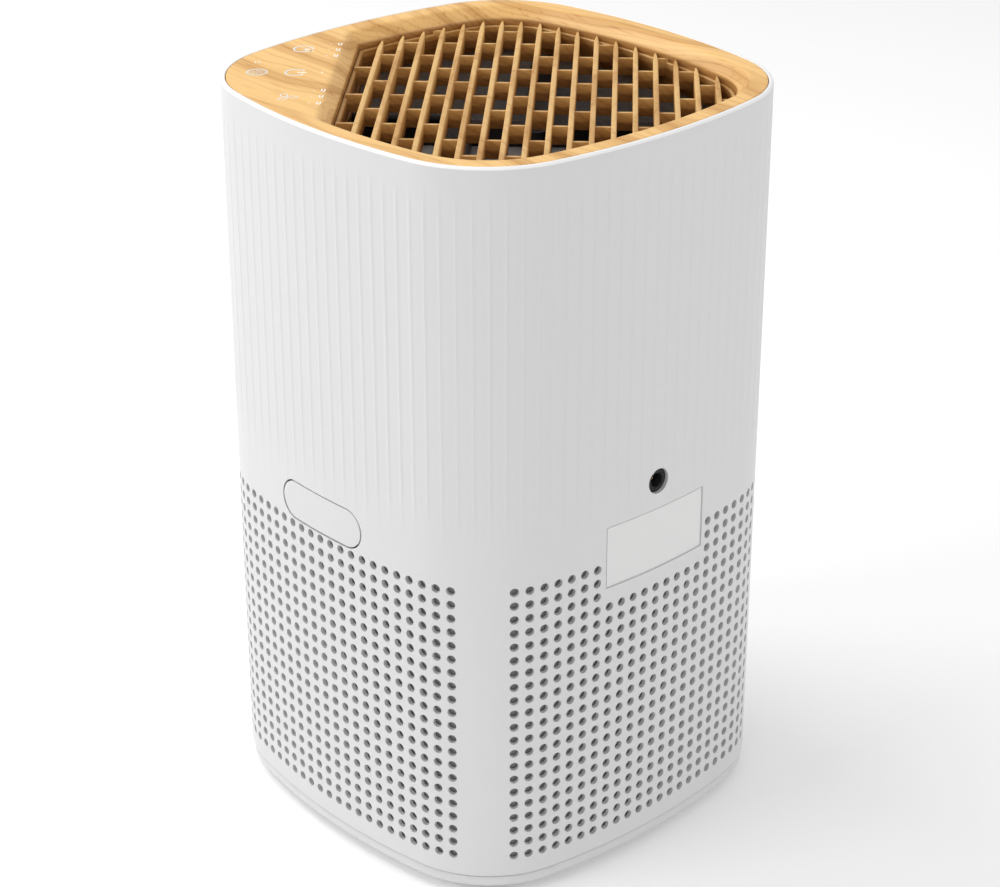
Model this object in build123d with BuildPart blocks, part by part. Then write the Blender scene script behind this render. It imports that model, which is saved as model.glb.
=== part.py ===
"""Free-standing air purifier: fluted, perforated housing, slatted outlet, round filter, radial fan.

Millimetres. The origin is on the floor under the middle of the body and +Z is up.
The four faces look along +X, -X, +Y and -Y. The power inlet is on +X, the aroma tray on -Y,
and the touch panel is over the (-X, -Y) corner. "Across" is the (+X, +Y) diagonal, which runs from
the touch panel to the far end of the outlet, and the outlet's slats run square to it.
"""

from build123d import *
from math import atan2, cos, degrees, pi, radians, sin, sqrt
import os

os.makedirs("parts", exist_ok=True)

# --- body ---------------------------------------------------------------------------------------
WIDTH = 200.0            # across two opposite faces
HEIGHT = 330.0           # floor to rim
FACE_RADIUS = 292.0      # plan radius of each gently bowed face
CORNER_RADIUS = 50.0     # plan radius of each corner
HOUSING_WALL = 2.0
FLUTES_PER_QUARTER = 26  # vertical flutes from one face centre to the next
SEAM_HEIGHT = 10.1       # bottom edge of the housing
RIM_BEVEL = 0.8
HALF = WIDTH / 2
DIAGONAL = sqrt(0.5)     # one unit along a diagonal, as X or Y
FACE_DROP = FACE_RADIUS - HALF
# X (and Y) of the corner arcs' centres, so that corner and face arcs meet smoothly
CENTRE = (sqrt(2 * (FACE_RADIUS - CORNER_RADIUS) ** 2 - FACE_DROP ** 2) - FACE_DROP) / 2
FACE_TURN = atan2(CENTRE, CENTRE + FACE_DROP)            # half the turn of a face arc
FACE_RUN = FACE_RADIUS * FACE_TURN
QUARTER_RUN = 2 * (FACE_RUN + CORNER_RADIUS * (pi / 4 - FACE_TURN))
FLUTE_PITCH = QUARTER_RUN / FLUTES_PER_QUARTER
FLUTES = 4 * FLUTES_PER_QUARTER
CORNER_REACH = CENTRE * sqrt(2) + CORNER_RADIUS          # middle to corner, along a diagonal

# --- intake holes -------------------------------------------------------------------------------
HOLE_DIAMETER = 4.0
HOLE_COLUMNS = 23
HOLE_ROWS = 21
HOLE_ROW_PITCH = 6.4
HOLE_BOTTOM = 20.3       # height of the lowest row
HOLE_TOP = HOLE_BOTTOM + (HOLE_ROWS - 1) * HOLE_ROW_PITCH
LABEL_COLUMNS = 9        # columns shortened under the rating label
LABEL_ROWS = 2

# --- label, inlet and aroma tray ----------------------------------------------------------------
LABEL_WIDTH = 57.0
LABEL_HEIGHT = 28.7
LABEL_MIDDLE = 152.4
LABEL_RECESS = 0.6
LABEL_THICKNESS = 0.25
LABEL_MARGIN = 0.8
INLET_HEIGHT = 179.0
INLET_DIAMETER = 11.2
TRAY_LENGTH = 52.0       # rounded opening in the face, overall
TRAY_TALL = 18.0
TRAY_RISE = 0.7          # opening above the tops of the highest holes
TRAY_MIDDLE = HOLE_TOP + HOLE_DIAMETER / 2 + TRAY_RISE + TRAY_TALL / 2
TRAY_GAP = 0.5           # shadow gap around the tray front
TRAY_DEPTH = 34.0        # drawer behind the front
DRAWER_WIDTH = TRAY_LENGTH - 12.0
DRAWER_TALL = TRAY_TALL - 6.0
DRAWER_WALL = 1.6
DRAWER_BACK = -HALF + TRAY_DEPTH
PAD_THICKNESS = 7.0
PAD_GAP = 0.4
PAD_CORNER = 3.0
SLEEVE_WALL = 1.6
SLEEVE_GAP = 0.3
SLEEVE_STOP = 1.0        # room behind the drawer
SLEEVE_FRONT = -HALF + HOUSING_WALL + 1.4
SLEEVE_LEG = (6.0, 12.0)
SLEEVE_LEG_SPOTS = [(-14.0, -HALF + 22.0), (14.0, -HALF + 22.0)]
FRONT_BACK = -HALF + HOUSING_WALL + 0.8   # inner face of the tray's front

# --- filter -------------------------------------------------------------------------------------
FILTER_RADIUS = 75.0
FILTER_BORE = FILTER_RADIUS - 30.0
FILTER_BOTTOM = 15.0
FILTER_CAP = 4.0
GASKET_HEIGHT = 6.0
PLEATS = 56
PLEAT_OUTER = FILTER_RADIUS - 3.0
PLEAT_INNER = PLEAT_OUTER - 18.0
PLEAT_PAPER = 1.0
CARBON_THICKNESS = 4.0
NET_THICKNESS = 1.0
NET_GAP = 0.6
PULL_TAB = (22.0, 16.0, 0.8)
CAP_BEVEL = 1.0
DECK_HEIGHT = 146.0      # underside of the plate between filter and fan
FILTER_TOP = DECK_HEIGHT - GASKET_HEIGHT
MEDIA_BOTTOM = FILTER_BOTTOM + FILTER_CAP
MEDIA_TOP = FILTER_TOP - FILTER_CAP

# --- base, feet and filter cover ----------------------------------------------------------------
FOOT_HEIGHT = 4.6
FOOT_RADIUS = 8.0
FOOT_REACH = 0.98 * HALF  # from the middle, along a diagonal
FOOT_SINK = 0.6          # how far a foot sits into the base
FOOT_BOSS_TALL = 14.0
BASE_THICKNESS = 3.0
BASE_INSET = 0.6
BASE_EDGE = 2.4          # rounding under the edge
BASE_BOTTOM = FOOT_HEIGHT - FOOT_SINK
BASE_TOP = SEAM_HEIGHT - 0.5
BASE_FLOOR = BASE_BOTTOM + BASE_THICKNESS
SPIGOT_GAP = 0.4
SPIGOT_WALL = 2.0
SPIGOT_RISE = 4.0
DOOR_RADIUS = FILTER_RADIUS + 7.0         # opening for the filter
DOOR_GAP = 0.4
DOOR_THICKNESS = 2.4
DOOR_WALL = 2.2
DOOR_BOTTOM = BASE_BOTTOM + 0.2
TAB_REACH = 2.5          # bayonet tabs inwards from the opening
TAB_HEIGHT = 2.2
TAB_ARC = 30.0
TAB_BOTTOM = DOOR_BOTTOM + DOOR_THICKNESS + 2.0
LUG_HEIGHT = 1.5
LUG_ARC = 26.0
BAYONET_GAP = 0.3
BAYONETS = 3
LUG_BOTTOM = TAB_BOTTOM + TAB_HEIGHT + BAYONET_GAP
DOOR_WALL_RADIUS = DOOR_RADIUS - TAB_REACH - BAYONET_GAP
GRIP_RADIUS = 30.0
GRIP_DEPTH = 8.0
GRIP_BAR = 12.0
GRIP_WALL = 1.4
GRIP_TOP = DOOR_BOTTOM + GRIP_DEPTH

# --- fasteners ----------------------------------------------------------------------------------
SCREW_RADIUS = 1.3
SCREW_HEAD = 2.8
SCREW_HEAD_TALL = 2.2
PILOT_RADIUS = 1.35
PILOT_DEPTH = 12.0
PASS_RADIUS = 1.6
BOSS_RADIUS = 3.5
BASE_SCREW_SEAT = FOOT_HEIGHT + SCREW_HEAD_TALL + 0.2
BASE_SCREW = 12.0        # lengths under the head
DECK_SCREW = 7.0
CASING_SCREW = 10.0
DUCT_SCREW = 8.0
BRACKET_SCREW = 7.0
COVER_SCREW = 6.5
BOARD_SCREW = 5.0
JACK_SCREW = 6.5

# --- fan and ducting, hung from the top -----------------------------------------------------------
PLATE = 2.5
DECK_INSET = 9.0
DECK_EYE = FILTER_BORE + 7.0
CARBON_SEAL = DECK_EYE + 2.0
SHELF = 6.0              # depth of the lugs under the fan deck
LUG_REACH = 1.03 * HALF  # corner lugs, along a diagonal
LUG_RADIUS = 5.0
DUCT_TOP = HEIGHT - 19.0
BRACKET_TOP = HEIGHT - 26.0
BRACKET_BOTTOM = BRACKET_TOP - 8.0
CUP_BOTTOM = BRACKET_BOTTOM - 51.0
DUCT_BOTTOM = CUP_BOTTOM + 17.0
IMPELLER_TOP = CUP_BOTTOM - 9.0
IMPELLER_BOTTOM = IMPELLER_TOP - 56.0
IMPELLER_RADIUS = 72.0
CASING_FLOOR = IMPELLER_BOTTOM - 8.0
CASING_TOP = DUCT_BOTTOM - PLATE
CASING_RADIUS = IMPELLER_RADIUS + 10.0
CASING_WALL = 2.0
CASING_LUG = 7.0
PILLAR_REACH = CASING_RADIUS - 5.0
PILLAR_RADIUS = 4.0
DUCT_LUG_REACH = HALF - 9.5
FLANGE_RADIUS = DUCT_LUG_REACH - PILLAR_RADIUS + 1.0
INLET_LIP = IMPELLER_BOTTOM + 4.0         # top of the bell mouth, inside the impeller's eye
INLET_WALL = 2.0
INLET_FLANGE = (8.0, 2.0)
RUNNING_GAP = 1.5
SHROUD = 2.0
BLADES = 11
BLADE_THICKNESS = 1.6
BLADE_INNER = DECK_EYE - 12.0
BLADE_TURNS = (12.0, 34.0)                # degrees swept at the eye and at the rim
HUB_RADIUS = 14.0
HUB_TOP = IMPELLER_TOP + 5.0
HUB_BOTTOM = IMPELLER_TOP - 14.0
SHAFT_RADIUS = 2.5
SHAFT_FIT = 0.05
SHAFT_END = 8.0          # shaft below the hub
NUT_RADIUS = 5.0
NUT_TALL = 5.0
CUP_RADIUS = 34.0
CUP_WALL = 2.0
CUP_TOP_PLATE = 2.0
CUP_BEVEL = 1.5
BEARING_RADIUS = 8.0
BEARING_TALL = 5.0
STATOR_BORE = 15.0
STATOR_GAP = 4.0         # between the stator and each bearing
STATOR_SLOT = (9.0, 5.0)
ROTOR_GAP = 0.5
ARM_WIDTH = 10.6
ARM_OFFSET = 16.0        # long arms, beside the shaft
CROSS_OFFSET = 13.0
BRACKET_SCREWS = [(-20.0, CROSS_OFFSET), (ARM_OFFSET, 8.0), (20.0, CROSS_OFFSET), (-ARM_OFFSET, -8.0)]

# --- top cover and grille -----------------------------------------------------------------------
RIM_GAP = 0.3            # between the white rim and the cover
COVER_PLATE = 3.5
COVER_PLATE_BOTTOM = HEIGHT - COVER_PLATE
COVER_SKIRT = 1.6
LEDGE_HEIGHT = HEIGHT - 9.0               # top of the housing's inner ledge
LEDGE_WIDTH = 4.0
LEDGE_THICKNESS = 2.5
COVER_SCREW_REACH = CORNER_REACH - RIM_GAP - HOUSING_WALL - COVER_SKIRT - BOSS_RADIUS - 0.8
BAND = 10.0              # flat band from the body's outside to the outlet's edge
BEVEL = 5.0              # sloping edge of the outlet, as wide as deep
PANEL_EDGE = -0.68 * HALF                 # straight side of the outlet, beside the touch panel
OUTLET_CORNER = 9.0      # rounding where that side meets the band
OUTLET_INSET = BAND + BEVEL
OUTLET_EDGE = PANEL_EDGE + BEVEL
COLLAR_WALL = 2.0
COLLAR_LIP = 2.5
DUCT_INSET = OUTLET_INSET + 1.0
DUCT_EDGE = OUTLET_EDGE + 1.0
GRILLE_GAP = 0.2
GRILLE_FRAME = 1.6
SLAT_TOP = HEIGHT - BEVEL
SLAT_DEPTH = 9.0
SLAT_WIDTH = 2.2
SLAT_PITCH = 8.54
SLAT_START = 1.2         # first slat from the frame, over one pitch
SLATS = int((CORNER_REACH - OUTLET_INSET - OUTLET_EDGE - SLAT_START) / SLAT_PITCH)
RIB_THICKNESS = 1.6
RIB_DROP = 1.5           # ribs stop below the slats' tops
RIB_PITCH = 36.9
RIB_START = -8.5
RIB_BOTTOM = SLAT_TOP - SLAT_DEPTH

# --- control board and touch keys, placed from the panel's straight side -----------------------------
BOARD_THICKNESS = 1.6
BOARD_DROP = 6.5         # below the panel
BOARD_INSET = 9.0
BOARD_EDGE = PANEL_EDGE - 3.0
BOARD_TOP = COVER_PLATE_BOTTOM - BOARD_DROP
BOARD_BOTTOM = BOARD_TOP - BOARD_THICKNESS
BOARD_FIXINGS = [(PANEL_EDGE - 24.0, 20.0), (PANEL_EDGE - 24.0, -20.0), (PANEL_EDGE - 6.5, -14.0)]
KEY_SPOTS = [(PANEL_EDGE - 16.0, 32.2), (PANEL_EDGE - 15.4, -0.7), (PANEL_EDGE - 31.0, -0.9),
             (PANEL_EDGE - 15.1, -33.3)]
KEY_RADIUS = 3.0
KEY_WIRE = 1.0
GUIDE_SPOTS = [(PANEL_EDGE - 2.0, 32.0), (PANEL_EDGE - 2.0, -32.0)]
GUIDE_SIZE = (3.0, 20.0)
CONNECTOR_SIZE = (6.0, 10.0)
CONNECTOR_TALL = 6.0
CONNECTOR_REACH = PANEL_EDGE - 9.0
POWER_REACH = PANEL_EDGE - 12.0
POWER_SIDE = 30.0

# --- power inlet and leads ------------------------------------------------------------------------
JACK_BODY = (12.0, 13.0)  # width and depth behind the face
JACK_SET_BACK = 1.2
JACK_FACE = HALF - HOUSING_WALL - JACK_SET_BACK
JACK_NOSE = JACK_SET_BACK + 0.4           # round nose in the housing's hole
BARREL_RADIUS = 3.1
BARREL_DEPTH = 9.0
JACK_PIN_RADIUS = 1.0
BRACKET_SPAN = 11.0      # from the jack's middle to each screw
BOSS_TALL = 6.0          # inlet bracket's bosses, inwards from the wall
BRACKET_PLATE = 2.0
LEAD_RADIUS = 1.8
LEAD_INSET = 7.0         # the power lead's path inside the housing's outside
LEAD_LINE = CROSS_OFFSET
LEAD_LANE = 22.0         # the power lead's level under the board's sockets
LEAD_STEPS = 9
POWER_LEAD_BEND = 5.0
MOTOR_LEAD_BEND = 4.0
MOTOR_LEAD_START = -22.0
MOTOR_LEAD_HEIGHT = BRACKET_TOP + LEAD_RADIUS + 0.2


# --- plan shapes --------------------------------------------------------------------------------

def across(u, v):
    """A point from its distance across and its distance square to that, as X and Y."""
    return ((u - v) * DIAGONAL, (u + v) * DIAGONAL)


def around(run, inset=0.0):
    """Point and outward angle on the outline, run along it from the middle of the +X face."""
    quarter, local = divmod(run + QUARTER_RUN / 2, QUARTER_RUN)
    local = local - QUARTER_RUN / 2
    side = 1 if local >= 0 else -1
    if abs(local) <= FACE_RUN:
        turn = local / FACE_RADIUS
        x = HALF - FACE_RADIUS + (FACE_RADIUS - inset) * cos(turn)
        y = (FACE_RADIUS - inset) * sin(turn)
    else:
        turn = side * (FACE_TURN + (abs(local) - FACE_RUN) / CORNER_RADIUS)
        x = CENTRE + (CORNER_RADIUS - inset) * cos(turn)
        y = side * CENTRE + (CORNER_RADIUS - inset) * sin(turn)
    swing = quarter * pi / 2
    point = (x * cos(swing) - y * sin(swing), x * sin(swing) + y * cos(swing))
    return point, turn + swing


def outline(inset, height):
    """Sketch of the body's smooth outline, moved inwards."""
    middle = QUARTER_RUN / 2
    with BuildSketch(Plane.XY.offset(height)) as sketch:
        with BuildLine():
            for face in range(4):
                start = face * QUARTER_RUN
                near = around(start - FACE_RUN, inset)[0]
                top = around(start, inset)[0]
                far = around(start + FACE_RUN, inset)[0]
                corner = around(start + middle - 1e-9, inset)[0]
                after = around(start + QUARTER_RUN - FACE_RUN, inset)[0]
                ThreePointArc(near, top, far)
                ThreePointArc(far, corner, after)
        make_face()
    return sketch.sketch


def facets(inset, height):
    """Sketch of the outline with one flat for each flute and its ridges on the smooth outline."""
    ridges = [around((number + 0.5) * FLUTE_PITCH, inset)[0] for number in range(FLUTES)]
    with BuildSketch(Plane.XY.offset(height)) as sketch:
        with BuildLine():
            Polyline(ridges, close=True)
        make_face()
    return sketch.sketch


def outlet(inset, edge, height, corner=OUTLET_CORNER):
    """Sketch of the outlet: the outline moved inwards, cut straight beside the touch panel."""
    with BuildSketch(Plane.XY.offset(height)) as sketch:
        add(outline(inset, height))
        with Locations(across(edge + WIDTH, 0)):
            Rectangle(2 * WIDTH, 4 * WIDTH, rotation=45, mode=Mode.INTERSECT)
        ends = sketch.vertices().sort_by(Axis((0, 0, height), (1, 1, 0)))[:2]
        fillet(ends, corner)
    return sketch.sketch


def at_corners(reach):
    """The four places at one distance along the diagonals."""
    return [(x * reach * DIAGONAL, y * reach * DIAGONAL) for x in (-1, 1) for y in (-1, 1)]


def finish(part, label):
    """Name a finished piece and write it."""
    part.label = label
    export_step(part, f"parts/{label}.step")


def screws(label, places, head_height, length, up=False):
    """Pan-head screws at plan places: head_height is under the head, up points the shank up."""
    way = 1 if up else -1
    with BuildPart() as group:
        with BuildSketch(Plane.XY.offset(head_height)):
            with Locations(*places):
                Circle(SCREW_HEAD)
        extrude(amount=-way * SCREW_HEAD_TALL)
        with BuildSketch(Plane.XY.offset(head_height)):
            with Locations(*places):
                Circle(SCREW_RADIUS)
        extrude(amount=way * length)
    finish(group.part, label)


# --- housing ------------------------------------------------------------------------------------

def hole_places():
    """Planes of all intake holes, each square to its own flat and 1 mm outside it."""
    places = []
    first = -(HOLE_COLUMNS // 2)
    for face in range(4):
        for column in range(first, first + HOLE_COLUMNS):
            point, turn = around((face * FLUTES_PER_QUARTER + column) * FLUTE_PITCH, -1.0)
            shortened = face == 0 and abs(column) <= LABEL_COLUMNS // 2
            rows = HOLE_ROWS - LABEL_ROWS if shortened else HOLE_ROWS
            for row in range(rows):
                height = HOLE_BOTTOM + row * HOLE_ROW_PITCH
                outward = (cos(turn), sin(turn), 0)
                places.append(Plane((point[0], point[1], height), z_dir=outward))
    return places


def corner_lugs(reach, radius, bottom, height, web=3.0):
    """Round lugs inside the housing's corners, each with a web to the wall."""
    with BuildPart() as lugs:
        with BuildSketch(Plane.XY.offset(bottom)):
            with Locations(*at_corners(reach)):
                Circle(radius)
            for x, y in at_corners((CORNER_REACH + reach) / 2):
                with Locations((x, y)):
                    Rectangle(CORNER_REACH - reach, web, rotation=degrees(atan2(y, x)))
            add(outline(HOUSING_WALL / 2, bottom), mode=Mode.INTERSECT)
        extrude(amount=height)
    return lugs.part


def make_outer_housing():
    shelf = corner_lugs(LUG_REACH, LUG_RADIUS, DECK_HEIGHT - SHELF, SHELF)
    foot_bosses = corner_lugs(FOOT_REACH, LUG_RADIUS, SEAM_HEIGHT, FOOT_BOSS_TALL)
    ledge_bottom = LEDGE_HEIGHT - LEDGE_THICKNESS
    ledge_lugs = corner_lugs(COVER_SCREW_REACH, BOSS_RADIUS + 0.6, ledge_bottom, LEDGE_THICKNESS)
    front = Plane((0, -HALF - 1, TRAY_MIDDLE), x_dir=(1, 0, 0), z_dir=(0, 1, 0))
    back = Plane((HALF - HOUSING_WALL, 0, INLET_HEIGHT), x_dir=(0, 1, 0), z_dir=(-1, 0, 0))
    with BuildPart() as housing:
        extrude(facets(0, SEAM_HEIGHT), amount=HEIGHT - SEAM_HEIGHT)
        chamfer(housing.faces().sort_by(Axis.Z)[-1].edges(), RIM_BEVEL)
        extrude(facets(HOUSING_WALL, SEAM_HEIGHT), amount=HEIGHT, mode=Mode.SUBTRACT)
        # ledge under the top cover
        extrude(outline(HOUSING_WALL / 2, ledge_bottom) - outline(HOUSING_WALL + LEDGE_WIDTH, ledge_bottom),
                amount=LEDGE_THICKNESS)
        add(shelf)
        add(foot_bosses)
        add(ledge_lugs)
        # bosses for the inlet's bracket
        with BuildSketch(back):
            with Locations((-BRACKET_SPAN, 0), (BRACKET_SPAN, 0)):
                Circle(BOSS_RADIUS)
        extrude(amount=BOSS_TALL)
        with BuildSketch(back):
            with Locations((-BRACKET_SPAN, 0), (BRACKET_SPAN, 0)):
                Circle(BOSS_RADIUS)
        extrude(amount=-HOUSING_WALL / 2)
        with BuildSketch(back.offset(BOSS_TALL)):
            with Locations((-BRACKET_SPAN, 0), (BRACKET_SPAN, 0)):
                Circle(PILOT_RADIUS)
        extrude(amount=-BOSS_TALL + 0.5, mode=Mode.SUBTRACT)
        # power inlet and aroma tray openings
        with BuildSketch(back.offset(1)):
            Circle(INLET_DIAMETER / 2)
        extrude(amount=-3 * HOUSING_WALL, mode=Mode.SUBTRACT)
        with BuildSketch(front):
            SlotOverall(TRAY_LENGTH, TRAY_TALL)
        extrude(amount=4 * HOUSING_WALL, mode=Mode.SUBTRACT)
        # pilots for the base, fan deck and cover screws
        with BuildSketch(Plane.XY.offset(SEAM_HEIGHT)):
            with Locations(*at_corners(FOOT_REACH)):
                Circle(PILOT_RADIUS)
        extrude(amount=PILOT_DEPTH, mode=Mode.SUBTRACT)
        with BuildSketch(Plane.XY.offset(DECK_HEIGHT)):
            with Locations(*at_corners(LUG_REACH)):
                Circle(PILOT_RADIUS)
        extrude(amount=-SHELF, mode=Mode.SUBTRACT)
        with BuildSketch(Plane.XY.offset(LEDGE_HEIGHT)):
            with Locations(*at_corners(COVER_SCREW_REACH)):
                Circle(PASS_RADIUS)
        extrude(amount=-LEDGE_THICKNESS, mode=Mode.SUBTRACT)
        # recess for the rating label
        add(label_band(-1.0, LABEL_RECESS, LABEL_WIDTH, LABEL_HEIGHT), mode=Mode.SUBTRACT)
        # intake holes
        with Locations(*hole_places()):
            Cylinder(HOLE_DIAMETER / 2, 2 * HOUSING_WALL + 3, mode=Mode.SUBTRACT)
    finish(housing.part, "outer_housing")


def label_band(outside, inside, width, height):
    """The stretch of the +X face between two insets, width by height, at the label's place."""
    bottom = LABEL_MIDDLE - height / 2
    with BuildPart() as band:
        extrude(facets(outside, bottom) - facets(inside, bottom), amount=height)
        with Locations((HALF, 0, LABEL_MIDDLE)):
            Box(HALF, width, 2 * height, mode=Mode.INTERSECT)
    return band.part


def make_rating_label():
    inside = LABEL_RECESS
    width = LABEL_WIDTH - 2 * LABEL_MARGIN
    height = LABEL_HEIGHT - 2 * LABEL_MARGIN
    label = label_band(inside - LABEL_THICKNESS, inside, width, height)
    finish(label, "rating_label")


# --- base, feet, filter cover ---------------------------------------------------------------------

def arc_segment(inner, outer, arc, height):
    """Sketch of the three bayonet segments between two radii, each arc degrees long."""
    with BuildSketch(Plane.XY.offset(height)) as sketch:
        for number in range(BAYONETS):
            start = number * 360 / BAYONETS - arc / 2
            middle = radians(start + arc / 2)
            reach = 2 * outer
            with BuildLine():
                a = (reach * cos(radians(start)), reach * sin(radians(start)))
                b = (reach * cos(middle), reach * sin(middle))
                c = (reach * cos(radians(start + arc)), reach * sin(radians(start + arc)))
                Polyline((0, 0), a, b, c, close=True)
            make_face()
        Circle(outer, mode=Mode.INTERSECT)
        Circle(inner, mode=Mode.SUBTRACT)
    return sketch.sketch


def make_base_tray():
    spigot = HOUSING_WALL + SPIGOT_GAP
    pads = at_corners(FOOT_REACH)
    with BuildPart() as base:
        extrude(outline(BASE_INSET, BASE_BOTTOM), amount=BASE_TOP - BASE_BOTTOM)
        fillet(base.faces().sort_by(Axis.Z)[0].edges(), BASE_EDGE)
        extrude(outline(spigot + SPIGOT_WALL, BASE_FLOOR), amount=BASE_TOP, mode=Mode.SUBTRACT)
        extrude(outline(spigot, BASE_FLOOR) - outline(spigot + SPIGOT_WALL, BASE_FLOOR),
                amount=SEAM_HEIGHT + SPIGOT_RISE - BASE_FLOOR)
        with BuildSketch(Plane.XY.offset(SEAM_HEIGHT)):
            with Locations(*at_corners(CORNER_REACH)):
                Circle(CORNER_REACH - FOOT_REACH + LUG_RADIUS + 1)
        extrude(amount=2 * SPIGOT_RISE, mode=Mode.SUBTRACT)
        # collar around the filter opening
        with BuildSketch(Plane.XY.offset(BASE_FLOOR)):
            Circle(DOOR_RADIUS + DOOR_WALL)
        extrude(amount=LUG_BOTTOM + LUG_HEIGHT + 1 - BASE_FLOOR)
        # screw pads over the feet, flush with the housing's bosses
        with BuildSketch(Plane.XY.offset(BASE_FLOOR)):
            with Locations(*pads):
                Circle(LUG_RADIUS)
        extrude(amount=SEAM_HEIGHT - BASE_FLOOR)
        with BuildSketch(Plane.XY.offset(BASE_BOTTOM)):
            Circle(DOOR_RADIUS)
        extrude(amount=FILTER_BOTTOM, mode=Mode.SUBTRACT)
        extrude(arc_segment(DOOR_RADIUS - TAB_REACH, DOOR_RADIUS + DOOR_WALL / 2, TAB_ARC, TAB_BOTTOM),
                amount=TAB_HEIGHT)
        # seats for the feet, then the screws' head pockets and holes
        with BuildSketch(Plane.XY.offset(BASE_BOTTOM)):
            with Locations(*pads):
                Circle(FOOT_RADIUS + 0.1)
        extrude(amount=FOOT_SINK, mode=Mode.SUBTRACT)
        with BuildSketch(Plane.XY.offset(BASE_BOTTOM)):
            with Locations(*pads):
                Circle(SCREW_HEAD + 0.3)
        extrude(amount=BASE_SCREW_SEAT - BASE_BOTTOM, mode=Mode.SUBTRACT)
        with BuildSketch(Plane.XY.offset(BASE_BOTTOM)):
            with Locations(*pads):
                Circle(PASS_RADIUS)
        extrude(amount=SEAM_HEIGHT, mode=Mode.SUBTRACT)
    finish(base.part, "base_tray")


def make_feet():
    with BuildPart() as feet:
        with BuildSketch():
            with Locations(*at_corners(FOOT_REACH)):
                Circle(FOOT_RADIUS)
        extrude(amount=FOOT_HEIGHT)
        rims = feet.faces().filter_by(Axis.Z).group_by(Axis.Z)[0].edges()
        chamfer(rims, 1.0)
    finish(feet.part, "rubber_feet")


def make_filter_cover():
    radius = DOOR_RADIUS - DOOR_GAP
    with BuildPart() as cover:
        with BuildSketch(Plane.XY.offset(DOOR_BOTTOM)):
            Circle(radius)
            Circle(GRIP_RADIUS, mode=Mode.SUBTRACT)
        extrude(amount=DOOR_THICKNESS)
        with BuildSketch(Plane.XY.offset(DOOR_BOTTOM)):
            Circle(DOOR_WALL_RADIUS)
            Circle(DOOR_WALL_RADIUS - DOOR_WALL, mode=Mode.SUBTRACT)
        extrude(amount=LUG_BOTTOM + LUG_HEIGHT - DOOR_BOTTOM)
        extrude(arc_segment(DOOR_WALL_RADIUS - DOOR_WALL, radius, LUG_ARC, LUG_BOTTOM),
                amount=LUG_HEIGHT)
        # sunken grip with a bar across it
        with BuildSketch(Plane.XY.offset(DOOR_BOTTOM)):
            Circle(GRIP_RADIUS + GRIP_WALL)
            Circle(GRIP_RADIUS, mode=Mode.SUBTRACT)
        extrude(amount=GRIP_DEPTH)
        with BuildSketch(Plane.XY.offset(GRIP_TOP - GRIP_WALL)):
            Circle(GRIP_RADIUS + GRIP_WALL)
        extrude(amount=GRIP_WALL)
        with BuildSketch(Plane.XY.offset(DOOR_BOTTOM)):
            Circle(GRIP_RADIUS + GRIP_WALL / 2)
            Rectangle(4 * GRIP_RADIUS, GRIP_BAR, mode=Mode.INTERSECT)
        extrude(amount=GRIP_DEPTH - GRIP_WALL / 2)
    finish(cover.part, "filter_cover")


# --- filter -------------------------------------------------------------------------------------

def tube(outer, inner, bottom, top):
    """A plain round tube about the middle of the body."""
    with BuildPart() as shape:
        with BuildSketch(Plane.XY.offset(bottom)):
            Circle(outer)
            Circle(inner, mode=Mode.SUBTRACT)
        extrude(amount=top - bottom)
    return shape.part


def pleat_ring(outer, inner, bottom):
    """Sketch bounded by a zigzag between two radii."""
    points = []
    for fold in range(2 * PLEATS):
        reach = outer if fold % 2 == 0 else inner
        turn = fold * pi / PLEATS
        points.append((reach * cos(turn), reach * sin(turn)))
    with BuildSketch(Plane.XY.offset(bottom)) as sketch:
        with BuildLine():
            Polyline(points, close=True)
        make_face()
    return sketch.sketch


def make_filter():
    with BuildPart() as bottom_cap:
        with BuildSketch(Plane.XY.offset(FILTER_BOTTOM)):
            Circle(FILTER_RADIUS)
        extrude(amount=FILTER_CAP)
        chamfer(bottom_cap.edges().group_by(Axis.Z)[0], CAP_BEVEL)
    finish(bottom_cap.part, "filter_bottom_cap")
    finish(tube(FILTER_RADIUS, FILTER_BORE, MEDIA_TOP, FILTER_TOP), "filter_top_cap")
    with BuildPart() as pleats:
        ring = pleat_ring(PLEAT_OUTER, PLEAT_INNER, MEDIA_BOTTOM)
        extrude(ring - pleat_ring(PLEAT_OUTER - PLEAT_PAPER, PLEAT_INNER - PLEAT_PAPER, MEDIA_BOTTOM),
                amount=MEDIA_TOP - MEDIA_BOTTOM)
    finish(pleats.part, "hepa_pleats")
    carbon = FILTER_BORE + CARBON_THICKNESS
    finish(tube(carbon, FILTER_BORE, MEDIA_BOTTOM, MEDIA_TOP), "carbon_layer")
    net = PLEAT_OUTER + NET_GAP
    finish(tube(net + NET_THICKNESS, net, MEDIA_BOTTOM, MEDIA_TOP), "prefilter_net")
    gasket = tube(PLEAT_OUTER, CARBON_SEAL, FILTER_TOP, DECK_HEIGHT)
    finish(gasket, "filter_gasket")
    length, width, thickness = PULL_TAB
    with BuildPart() as tab:
        with BuildSketch(Plane.XY.offset(FILTER_BOTTOM - thickness)):
            with Locations((0, (GRIP_RADIUS + FILTER_RADIUS) / 2)):
                RectangleRounded(length, width, PAD_CORNER)
        extrude(amount=thickness)
    finish(tab.part, "filter_pull_tab")


# --- fan ----------------------------------------------------------------------------------------

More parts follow.
